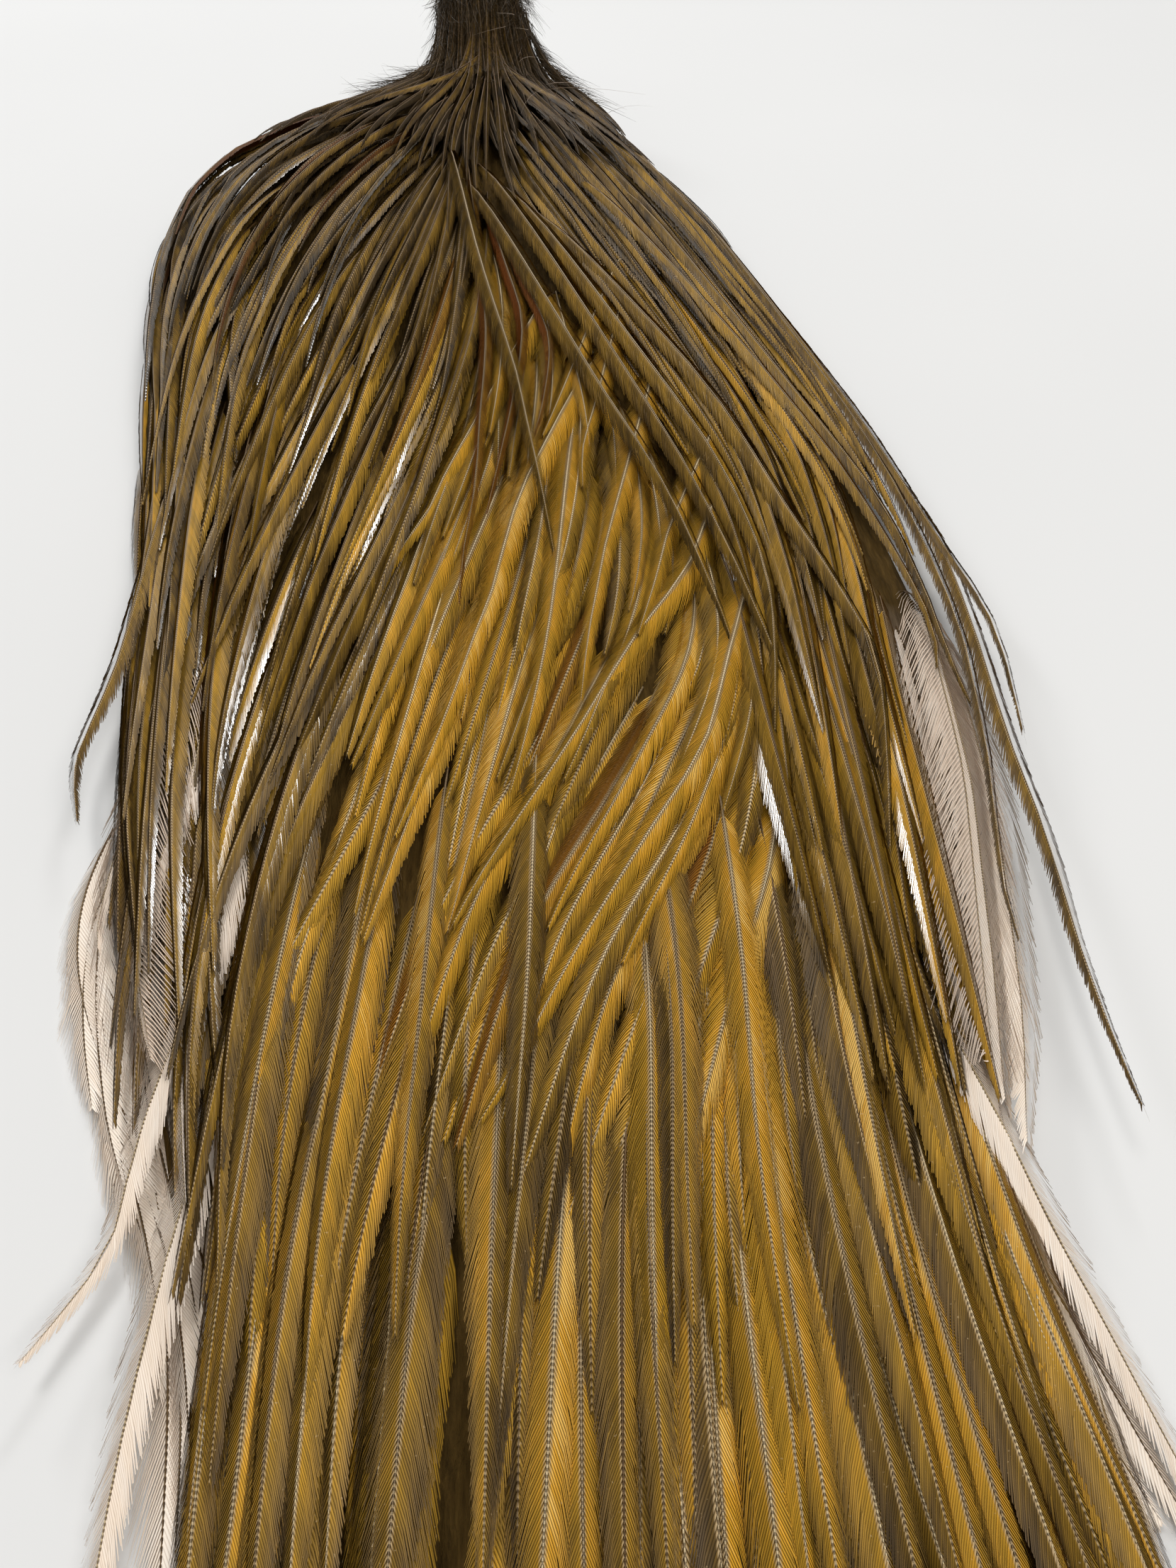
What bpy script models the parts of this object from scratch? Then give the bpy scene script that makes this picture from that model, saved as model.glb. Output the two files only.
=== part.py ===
"""Rooster neck cape: one dried hide with its hackle feathers, lying feathers up.

Metres, +Z up. +X is the cape's right as seen from the butt end, +Y runs from the butt to the
head. The origin is on the hide's flat underside, which rests on the surface at z = 0.
The hide, the feather mat and the feather locks grew as one piece, so they are one solid.
"""

import math

import bmesh
import bpy
from mathutils import Vector

MM = 0.001

# Driving dimensions, in millimetres
HIDE_THICKNESS = 1.4
HIDE_RESOLUTION = 3
CROWN_POWER = 2.6
CROWN_PLACES = (-0.75, -0.4, 0.0, 0.4, 0.75)
MAT_INSET = 4.0
MAT_COVER = 1.0
SIDE_SHARE = 0.6
UNDER_SHARE = 0.86
LOCK_HALF_WIDTH = 6.2
LOCK_STATIONS = 9
SINGLE_STATIONS = 6
LOCK_RIDGE = 0.50
LOCK_KEEL = 0.36
ROOT_DEPTH = 2.6
TIP_LIFT = 1.3
LOWEST_KEEL = 0.6
TUFT_HALF_WIDTH = 4.4
STRAY_HALF_WIDTH = 3.6

# Stations of the feather mass from butt to head: y, left, right, crown height, edge height, bottom
MASS = (
    (-148, -34, 36, 4.6, 3.2, 2.4),
    (-136, -40, 40, 9.0, 4.0, 1.0),
    (-112, -44, 43, 12.5, 4.6, 1.0),
    (-85, -50, 49, 14.0, 5.0, 1.0),
    (-56, -54, 56, 15.5, 5.5, 1.0),
    (-25, -57, 60, 17.0, 6.0, 1.0),
    (5, -60, 58, 18.0, 6.5, 1.0),
    (35, -64, 54, 19.0, 7.0, 1.0),
    (66, -69, 50, 20.0, 7.5, 1.0),
    (95, -71, 45, 20.5, 8.5, 1.0),
    (122, -70, 39, 20.5, 9.5, 1.0),
    (142, -62, 33, 20.0, 10.5, 1.0),
    (158, -42, 26, 19.0, 11.5, 1.0),
    (170, -20, 19, 18.5, 12.0, 1.6),
    (179, -15, 14, 21.5, 15.0, 5.5),
    (188, -13, 12, 28.0, 21.0, 14.0),
    (194, -9, 8, 31.0, 27.5, 22.0),
)

# Outline of the hide, clockwise from the butt's left corner
HIDE_OUTLINE = (
    (-26, -124), (-34, -96), (-40, -60), (-45, -15), (-50, 35), (-54, 80), (-50, 118),
    (-32, 144), (-13, 158), (10, 158), (22, 142), (30, 108), (36, 70), (41, 25), (43, -20),
    (38, -62), (31, -98), (25, -122), (2, -130),
)

# Strokes that the feathers follow, from root to tip, ordered across each tract
LEFT_STROKES = (
    ((-8, 166), (-34, 160), (-55, 142), (-66, 112), (-65, 72), (-60, 26), (-54, -18), (-49, -60), (-43, -98)),
    ((-6, 155), (-27, 134), (-46, 98), (-53, 50), (-51, 0), (-47, -38), (-44, -76), (-39, -110)),
    ((-6, 138), (-19, 102), (-30, 60), (-38, 20), (-43, -16), (-43, -52), (-39, -86), (-34, -124)),
    ((-6, 118), (-13, 74), (-22, 36), (-31, -3), (-35, -37), (-34, -66), (-31, -96), (-26, -134)),
)
CENTRE_STROKES = (
    ((-6, 104), (-8, 56), (-12, 15), (-20, -22), (-27, -56), (-30, -85)),
    ((-1, 100), (-1, 50), (-3, 5), (-9, -35), (-17, -62), (-22, -92)),
    ((4, 84), (6, 28), (0, -5), (-8, -35), (-14, -66), (-16, -98)),
    ((12, 40), (17, -5), (12, -34), (2, -56), (-6, -80), (-8, -105)),
)
RIGHT_STROKES = (
    ((2, 118), (6, 76), (13, 36), (19, -3), (23, -38), (24, -60)),
    ((4, 138), (11, 82), (22, 26), (31, -10), (37, -38), (38, -72)),
    ((10, 160), (24, 98), (36, 43), (43, 3), (48, -34), (45, -78)),
    ((18, 168), (37, 118), (48, 58), (55, 10), (57, -30), (50, -76)),
)
BUTT_STROKES = (
    ((-28, -64), (-34, -92), (-37, -122), (-38, -152)),
    ((-12, -58), (-17, -90), (-20, -122), (-21, -156)),
    ((4, -58), (1, -90), (-2, -122), (-3, -158)),
    ((20, -60), (17, -90), (17, -122), (18, -156)),
    ((36, -62), (34, -92), (35, -122), (39, -152)),
)

# Single feathers whose tips stand clear of the mass, with heights
STRAY_STROKES = (
    ((-34, -80, 8), (-40, -92, 6), (-45, -103, 4.5), (-49, -114, 3)),
    ((-48, -22, 9), (-52, -36, 8), (-55, -48, 7), (-57, -58, 6)),
    ((56, -34, 8), (56, -56, 7.5), (53, -80, 7), (51, -102, 6)),
    ((50, -18, 9), (55, -34, 8.5), (58, -46, 8), (58, -57, 7)),
    ((-44, -58, 8), (-49, -68, 7), (-52, -76, 6), (-54, -84, 5)),
)

# Short dark feathers round the head end, with heights
TUFT_STROKES = (
    ((-5, 191, 28), (-11, 184, 23), (-15, 176, 18), (-21, 165, 13.5)),
    ((5, 191, 28), (10, 184, 23), (15, 176, 18), (20, 165, 13.5)),
    ((0, 192, 30.5), (-1, 185, 27), (-2, 176, 21.5), (-4, 160, 18.5)),
    ((-7, 196, 29), (-12, 192, 26), (-16, 186, 22), (-18, 177, 17)),
    ((7, 196, 29), (11, 192, 26), (15, 186, 22), (16, 177, 17)),
)


def catmull(points, t):
    """Point on a smooth curve through the given points, with t from 0 to 1."""
    spans = len(points) - 1
    place = min(max(t, 0.0), 1.0) * spans
    i = min(int(place), spans - 1)
    u = place - i
    before, after = points[max(i - 1, 0)], points[min(i + 2, spans)]
    quad = (before, points[i], points[i + 1], after)
    weights = (
        0.5 * (-u + 2 * u * u - u ** 3),
        0.5 * (2 - 5 * u * u + 3 * u ** 3),
        0.5 * (u + 4 * u * u - 3 * u ** 3),
        0.5 * (-u * u + u ** 3),
    )
    return tuple(sum(w * p[axis] for w, p in zip(weights, quad)) for axis in range(len(points[0])))


def mass_at(y):
    """Left, right, crown height, edge height and bottom of the feather mass at a place along it."""
    if y <= MASS[0][0]:
        return MASS[0][1:]
    for low, high in zip(MASS, MASS[1:]):
        if y <= high[0]:
            u = (y - low[0]) / (high[0] - low[0])
            return tuple(a + u * (b - a) for a, b in zip(low[1:], high[1:]))
    return MASS[-1][1:]


def surface_height(x, y):
    """Height of the feather mass over a point; it falls to its edge height at the sides."""
    left, right, crown, edge, _ = mass_at(y)
    middle = 0.5 * (left + right)
    u = min(abs(x - middle) / (0.5 * (right - left)), 1.0)
    return edge + (crown - edge) * (1.0 - u ** CROWN_POWER)


def own_collection(name):
    """A new collection of the scene."""
    collection = bpy.data.collections.new(name)
    bpy.context.scene.collection.children.link(collection)
    return collection


def finish(name, colour, roughness):
    """A plain material with the feathers' overall colour."""
    material = bpy.data.materials.new(name)
    material.use_nodes = True
    shader = material.node_tree.nodes["Principled BSDF"]
    shader.inputs["Base Color"].default_value = (*colour, 1.0)
    shader.inputs["Roughness"].default_value = roughness
    shader.inputs["Metallic"].default_value = 0.0
    return material


def as_guide(obj):
    """Mark an object as a guide that is not part of the cape."""
    obj.hide_render = True
    obj.display_type = "WIRE"


def mesh_from(curve_object, name, collection):
    """Turn a curve object into a mesh object with its caps welded, and remove the curve."""
    bpy.context.view_layer.update()
    graph = bpy.context.evaluated_depsgraph_get()
    mesh = bpy.data.meshes.new_from_object(curve_object.evaluated_get(graph))
    cage = bmesh.new()
    cage.from_mesh(mesh)
    bmesh.ops.remove_doubles(cage, verts=cage.verts, dist=0.01 * MM)
    bmesh.ops.recalc_face_normals(cage, faces=cage.faces)
    cage.to_mesh(mesh)
    cage.free()
    obj = bpy.data.objects.new(name, mesh)
    obj.matrix_world = curve_object.matrix_world
    collection.objects.link(obj)
    bpy.data.objects.remove(curve_object)
    return obj


def hide_sheet(collection):
    """The dried hide: a flat sheet with a wavy cut edge, flat on the surface."""
    curve = bpy.data.curves.new("hide_outline", "CURVE")
    curve.dimensions = "2D"
    curve.fill_mode = "BOTH"
    curve.resolution_u = HIDE_RESOLUTION
    curve.extrude = 0.5 * HIDE_THICKNESS * MM
    spline = curve.splines.new("BEZIER")
    spline.bezier_points.add(len(HIDE_OUTLINE) - 1)
    for point, (x, y) in zip(spline.bezier_points, HIDE_OUTLINE):
        point.co = (x * MM, y * MM, 0.0)
        point.handle_left_type = "AUTO"
        point.handle_right_type = "AUTO"
    spline.use_cyclic_u = True
    outline = bpy.data.objects.new("hide_outline", curve)
    outline.location.z = 0.5 * HIDE_THICKNESS * MM
    collection.objects.link(outline)
    sheet = mesh_from(outline, "hide_sheet", collection)
    return sheet


def mat_section(station):
    """Corners of the feather mat at one station, from its lower left over the crown to the right."""
    y, left, right, crown, edge, bottom = station
    inset = min(MAT_INSET, 0.2 * (right - left))
    left, right = left + inset, right - inset
    middle, half = 0.5 * (left + right), 0.5 * (right - left)
    side = bottom + SIDE_SHARE * (edge - bottom)
    corners = [(middle - UNDER_SHARE * half, y, bottom), (left, y, side)]
    for u in CROWN_PLACES:
        height = side + (crown - MAT_COVER - side) * (1.0 - abs(u) ** CROWN_POWER)
        corners.append((middle + u * half, y, height))
    corners += [(right, y, side), (middle + UNDER_SHARE * half, y, bottom)]
    return corners


def feather_mat(collection):
    """The mat under the locks: a loft through the mass's stations."""
    cage = bmesh.new()
    rings = []
    for station in MASS:
        rings.append([cage.verts.new(Vector(corner) * MM) for corner in mat_section(station)])
    for near, far in zip(rings, rings[1:]):
        for i in range(len(near)):
            j = (i + 1) % len(near)
            cage.faces.new((near[i], near[j], far[j], far[i]))
    cage.faces.new(reversed(rings[0]))
    cage.faces.new(rings[-1])
    bmesh.ops.recalc_face_normals(cage, faces=cage.faces)
    mesh = bpy.data.meshes.new("feather_mat")
    cage.to_mesh(mesh)
    cage.free()
    obj = bpy.data.objects.new("feather_mat", mesh)
    collection.objects.link(obj)
    return obj


def lock_section(collection):
    """Cross-section of a lock: a low roof over a keel, one unit wide each way."""
    curve = bpy.data.curves.new("lock_section", "CURVE")
    curve.dimensions = "2D"
    spline = curve.splines.new("POLY")
    corners = ((-1.0, 0.0), (0.0, LOCK_RIDGE), (1.0, 0.0), (0.0, -LOCK_KEEL))
    spline.points.add(len(corners) - 1)
    for point, (x, y) in zip(spline.points, corners):
        point.co = (x * MM, y * MM, 0.0, 1.0)
    spline.use_cyclic_u = True
    obj = bpy.data.objects.new("lock_section", curve)
    as_guide(obj)
    collection.objects.link(obj)
    return obj


def lance(t):
    """Width of a hackle along its length, as a share of its widest."""
    return 0.10 + 0.90 * math.sin(math.pi * min(0.18 + 0.82 * t, 1.0)) ** 0.75


def lock(name, path, half_width, section, collection):
    """One feather lock: the section swept along its path, widest before the middle."""
    curve = bpy.data.curves.new(name, "CURVE")
    curve.dimensions = "3D"
    curve.twist_mode = "Z_UP"
    curve.bevel_mode = "OBJECT"
    curve.bevel_object = section
    curve.use_fill_caps = True
    spline = curve.splines.new("POLY")
    spline.points.add(len(path) - 1)
    for k, (point, place) in enumerate(zip(spline.points, path)):
        width = half_width * lance(k / (len(path) - 1))
        lowest = LOWEST_KEEL + LOCK_KEEL * width
        x, y, z = place
        point.co = (x * MM, y * MM, max(z, lowest) * MM, 1.0)
        point.radius = width
    swept = bpy.data.objects.new(name, curve)
    collection.objects.link(swept)
    obj = mesh_from(swept, name, collection)
    as_guide(obj)
    return obj


def tract_path(strokes, across, start, end):
    """Path of one lock that follows the strokes of its tract, from its root to its tip."""
    place = across * (len(strokes) - 1)
    i = min(int(place), len(strokes) - 2)
    u = place - i
    path = []
    for k in range(LOCK_STATIONS):
        t = k / (LOCK_STATIONS - 1)
        along = start + t * (end - start)
        near, far = catmull(strokes[i], along), catmull(strokes[i + 1], along)
        x, y = (a + u * (b - a) for a, b in zip(near, far))
        lift = -ROOT_DEPTH + (ROOT_DEPTH + TIP_LIFT) * math.sin(0.5 * math.pi * min(2.0 * t, 1.0))
        path.append((x, y, surface_height(x, y) - 1.0 + lift))
    return path


def tract_locks(name, strokes, rows, columns, reach, section, collection):
    """Rows of overlapping locks over one tract; every second row is shifted half a column."""
    step = (1.0 - reach) / (rows - 1)
    for row in range(rows):
        shift = 0.25 if row % 2 else 0.0
        for column in range(columns):
            across = (column + shift + 0.1) / (columns - 0.55)
            path = tract_path(strokes, min(across, 1.0), row * step, row * step + reach)
            lock(f"{name}_{row}_{column}", path, LOCK_HALF_WIDTH, section, collection)


def single_locks(name, strokes, half_width, section, collection):
    """Locks that each follow a stroke of their own."""
    for k, stroke in enumerate(strokes):
        path = [catmull(stroke, i / (SINGLE_STATIONS - 1)) for i in range(SINGLE_STATIONS)]
        lock(f"{name}_{k}", path, half_width, section, collection)


def grown_together(mat, locks, name, collection):
    """One closed solid from the mat and everything in the locks' collection."""
    union = mat.modifiers.new("grown_together", "BOOLEAN")
    union.operation = "UNION"
    union.operand_type = "COLLECTION"
    union.collection = locks
    union.solver = "EXACT"
    bpy.context.view_layer.update()
    graph = bpy.context.evaluated_depsgraph_get()
    mesh = bpy.data.meshes.new_from_object(mat.evaluated_get(graph))
    fill_pockets(mesh)
    solid = bpy.data.objects.new(name, mesh)
    collection.objects.link(solid)
    as_guide(mat)
    return solid


def fill_pockets(mesh):
    """Fill the small air pockets shut in between crossing locks: only the outer shell stays."""
    cage = bmesh.new()
    cage.from_mesh(mesh)
    shells = []
    waiting = set(cage.verts)
    while waiting:
        shell, front = set(), [waiting.pop()]
        while front:
            vert = front.pop()
            shell.add(vert)
            for edge in vert.link_edges:
                other = edge.other_vert(vert)
                if other in waiting:
                    waiting.remove(other)
                    front.append(other)
        shells.append(shell)
    outer = max(shells, key=len)
    inner = [vert for shell in shells if shell is not outer for vert in shell]
    bmesh.ops.delete(cage, geom=inner, context="VERTS")
    cage.to_mesh(mesh)
    cage.free()


def build():
    """Build the cape."""
    for obj in list(bpy.data.objects):
        bpy.data.objects.remove(obj)
    parts = own_collection("rooster_cape")
    guides = own_collection("guides")
    locks = own_collection("locks")

    section = lock_section(guides)
    tract_locks("left", LEFT_STROKES, 6, 4, 0.30, section, locks)
    tract_locks("centre", CENTRE_STROKES, 3, 4, 0.46, section, locks)
    tract_locks("right", RIGHT_STROKES, 5, 4, 0.36, section, locks)
    tract_locks("butt", BUTT_STROKES, 2, 5, 0.66, section, locks)
    single_locks("stray", STRAY_STROKES, STRAY_HALF_WIDTH, section, locks)
    single_locks("tuft", TUFT_STROKES, TUFT_HALF_WIDTH, section, locks)
    as_guide(hide_sheet(locks))

    cape = grown_together(feather_mat(guides), locks, "cape", parts)
    cape.data.materials.clear()
    cape.data.materials.append(finish("olive_hackle", (0.16, 0.09, 0.02), 0.5))


build()
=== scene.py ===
"""Looks of a rooster neck cape: a dried hide with its long olive-brown hackles, feathers up.

Every feather is modelled with its quill and its single barbs. Design numbers are millimetres in
the part's own frame: +X to the cape's right as seen from the butt, +Y from the butt to the head.
"""

import logging
import math
from dataclasses import dataclass, field
from enum import Enum, IntEnum
from typing import Iterator, Sequence

import bmesh
import bpy
import numpy as np
from mathutils import Euler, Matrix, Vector


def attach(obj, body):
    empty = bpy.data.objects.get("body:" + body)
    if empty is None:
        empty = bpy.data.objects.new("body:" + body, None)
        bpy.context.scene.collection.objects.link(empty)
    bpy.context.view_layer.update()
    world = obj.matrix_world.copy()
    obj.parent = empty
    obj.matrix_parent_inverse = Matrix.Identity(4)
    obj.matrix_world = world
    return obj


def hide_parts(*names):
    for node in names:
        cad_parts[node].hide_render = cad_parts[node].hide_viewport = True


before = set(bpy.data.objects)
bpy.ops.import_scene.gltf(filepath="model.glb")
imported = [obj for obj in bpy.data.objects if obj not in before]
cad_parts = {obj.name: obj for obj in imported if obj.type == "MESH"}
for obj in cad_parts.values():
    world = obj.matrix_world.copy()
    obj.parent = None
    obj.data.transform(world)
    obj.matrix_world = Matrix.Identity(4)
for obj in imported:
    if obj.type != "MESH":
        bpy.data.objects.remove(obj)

log = logging.getLogger("rooster_cape")

MM = 0.001
SEED = 20
NODE = "cape"
BODY = "root"
BAKE_MAP = "OFBake"

# Share of a turn that puts each next feather in the widest gap left
EVEN_TURN = 0.6180339887
# Lowest height of a barb or a hair over the floor
LOWEST = 0.35
# How much darker the feathers are at the head end
HEAD_SHADE = 0.38
# Shine above which a vane catches the light, and how much flatter it then lies
WET = 0.6
WET_CURL = 0.6
# The leading and the trailing edge of a barb
EDGES = np.array([1.0, -1.0])

Points = Sequence[Sequence[float]]


class Slot(Enum):
    """Material slots of the record."""

    HACKLE = "hackle"
    CROWN = "crown"
    FLUFF = "fluff"
    HIDE = "hide"


class Side(Enum):
    """The two vanes of a feather, as seen from the butt end."""

    LEFT = -1
    RIGHT = 1


class Dress(IntEnum):
    """Place of each finish among a feathered piece's materials."""

    BARBS = 0
    QUILL = 1
    GLOSSY = 2


@dataclass(frozen=True)
class Relief:
    """Shape of the feather mass: how high the feathers lie over each point of the hide."""

    y: tuple = (-148, -136, -112, -85, -56, -25, 5, 35, 66, 95, 122, 142, 158, 170, 179, 188, 194, 202)
    left: tuple = (-34, -38, -41, -48, -54, -57, -60, -64, -69, -71, -70, -64, -53, -36, -17, -13, -12, -10)
    right: tuple = (38, 40, 41, 47, 55, 59, 58, 54, 50, 46, 40, 35, 31, 27, 18, 12, 11, 9)
    crown: tuple = (4.6, 9, 12.5, 14, 15.5, 17, 18, 19, 20, 20.5, 20.5, 20, 19, 18.5, 21.5, 28, 31, 34)
    edge: tuple = (3.2, 4, 4.6, 5, 5.5, 6, 6.5, 7, 7.5, 8.5, 9.5, 10.5, 11, 11.5, 15, 21, 27.5, 31)
    power: float = 2.6
    droop: float = 7.0
    lowest: float = 1.6

    def sides(self, y: np.ndarray) -> tuple[np.ndarray, np.ndarray]:
        """Places of the left and the right edge of the mass."""
        return np.interp(y, self.y, self.left), np.interp(y, self.y, self.right)

    def across(self, x: np.ndarray, y: np.ndarray) -> np.ndarray:
        """How far across the mass each point lies: -1 at its left edge and 1 at its right."""
        left, right = self.sides(y)
        return (x - 0.5 * (left + right)) / (0.5 * (right - left))

    def height(self, x: np.ndarray, y: np.ndarray) -> np.ndarray:
        """Height of the mass over each point; past its edges the feathers droop.

        Args:
            x: Places across, in millimetres.
            y: Places along, in millimetres.

        Returns:
            Heights in millimetres.
        """
        u = np.abs(self.across(x, y))
        crown, edge = np.interp(y, self.y, self.crown), np.interp(y, self.y, self.edge)
        inside = edge + (crown - edge) * (1.0 - np.minimum(u, 1.0) ** self.power)
        return np.maximum(inside - self.droop * np.maximum(u - 1.0, 0.0) ** 0.8, self.lowest)

    def normal(self, x: np.ndarray, y: np.ndarray, step: float = 3.0) -> np.ndarray:
        """Upward direction of the mass's surface.

        Args:
            x: Places across, in millimetres.
            y: Places along, in millimetres.
            step: Distance over which the slope is read.

        Returns:
            One unit vector a point.
        """
        slope_x = (self.height(x + step, y) - self.height(x - step, y)) / (2 * step)
        slope_y = (self.height(x, y + step) - self.height(x, y - step)) / (2 * step)
        up = np.stack([-slope_x, -slope_y, np.ones_like(slope_x)], axis=-1)
        return up / np.linalg.norm(up, axis=-1, keepdims=True)


class Stroke:
    """A smooth curve through a few points, read by the distance along it."""

    def __init__(self, points: Points, spans: int = 10) -> None:
        """Smooth the points.

        Args:
            points: The points that the curve passes through.
            spans: Samples between two points.
        """
        knots = np.asarray(points, dtype=float)
        ends = np.vstack([2 * knots[0] - knots[1], knots, 2 * knots[-1] - knots[-2]])
        u = np.linspace(0.0, 1.0, spans, endpoint=False)[:, None]
        runs = []
        for a, b, c, d in zip(ends, ends[1:], ends[2:], ends[3:]):
            runs.append(0.5 * (2 * b + (c - a) * u + (2 * a - 5 * b + 4 * c - d) * u ** 2
                               + (3 * b - a - 3 * c + d) * u ** 3))
        self.curve = np.vstack([*runs, knots[-1:]])
        steps = np.linalg.norm(np.diff(self.curve, axis=0), axis=1)
        self.along = np.concatenate([[0.0], np.cumsum(steps)])
        self.length = float(self.along[-1])

    def at(self, distance: np.ndarray) -> np.ndarray:
        """Points at distances along the curve; past its end it runs straight on.

        Args:
            distance: Distances from its start, in millimetres.

        Returns:
            One point a distance.
        """
        distance = np.asarray(distance, dtype=float)
        found = np.stack([np.interp(distance, self.along, axis) for axis in self.curve.T], axis=-1)
        last = self.curve[-1] - self.curve[-2]
        last /= np.linalg.norm(last)
        beyond = np.maximum(distance - self.length, 0.0)
        return found + beyond[:, None] * last


@dataclass
class Feather:
    """One feather: where it lies, how wide it is and how it is dyed."""

    path: np.ndarray
    half_width: float
    curl: float
    gap: float
    bare: float
    tone: float
    red: float
    grey: float
    quill: float
    loose: float
    slant: float
    taper: float
    fringe: float
    split: float
    shine: float
    segments: int = 2
    roll: float = 0.0
    glossy: Side = Side.LEFT
    quill_radius: float = 0.19
    uneven: float = 0.05
    blade: float = 0.66


@dataclass
class Course:
    """A feather's centreline, with the directions across its vane and away from it."""

    path: np.ndarray
    side: np.ndarray
    up: np.ndarray
    share: np.ndarray
    length: float

    def read(self, values: np.ndarray, along: np.ndarray) -> np.ndarray:
        """Read vectors along the centreline; past its end they run straight on.

        Args:
            values: The vectors, one for each of its points.
            along: Shares of its length at which they are wanted.

        Returns:
            One vector a wanted share.
        """
        found = np.stack([np.interp(along, self.share, axis) for axis in values.T], axis=-1)
        slope = (values[-1] - values[-2]) / (self.share[-1] - self.share[-2])
        return found + np.maximum(along - 1.0, 0.0)[..., None] * slope


@dataclass
class Patch:
    """Mesh arrays of one vane, quill or hair."""

    points: np.ndarray
    quads: np.ndarray
    place: np.ndarray
    dye: np.ndarray
    cell: np.ndarray
    finish: np.ndarray


def layers(shape: tuple, *values: object) -> np.ndarray:
    """Rows of several numbers a vertex, from arrays or plain values that fit a shape."""
    stacked = np.stack([np.broadcast_to(value, shape) for value in values], axis=-1)
    return stacked.reshape(-1, len(values))


def seeded(name: str) -> np.random.Generator:
    """Source of the small differences within the piece of that name."""
    return np.random.default_rng([SEED, *name.encode()])


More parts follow.
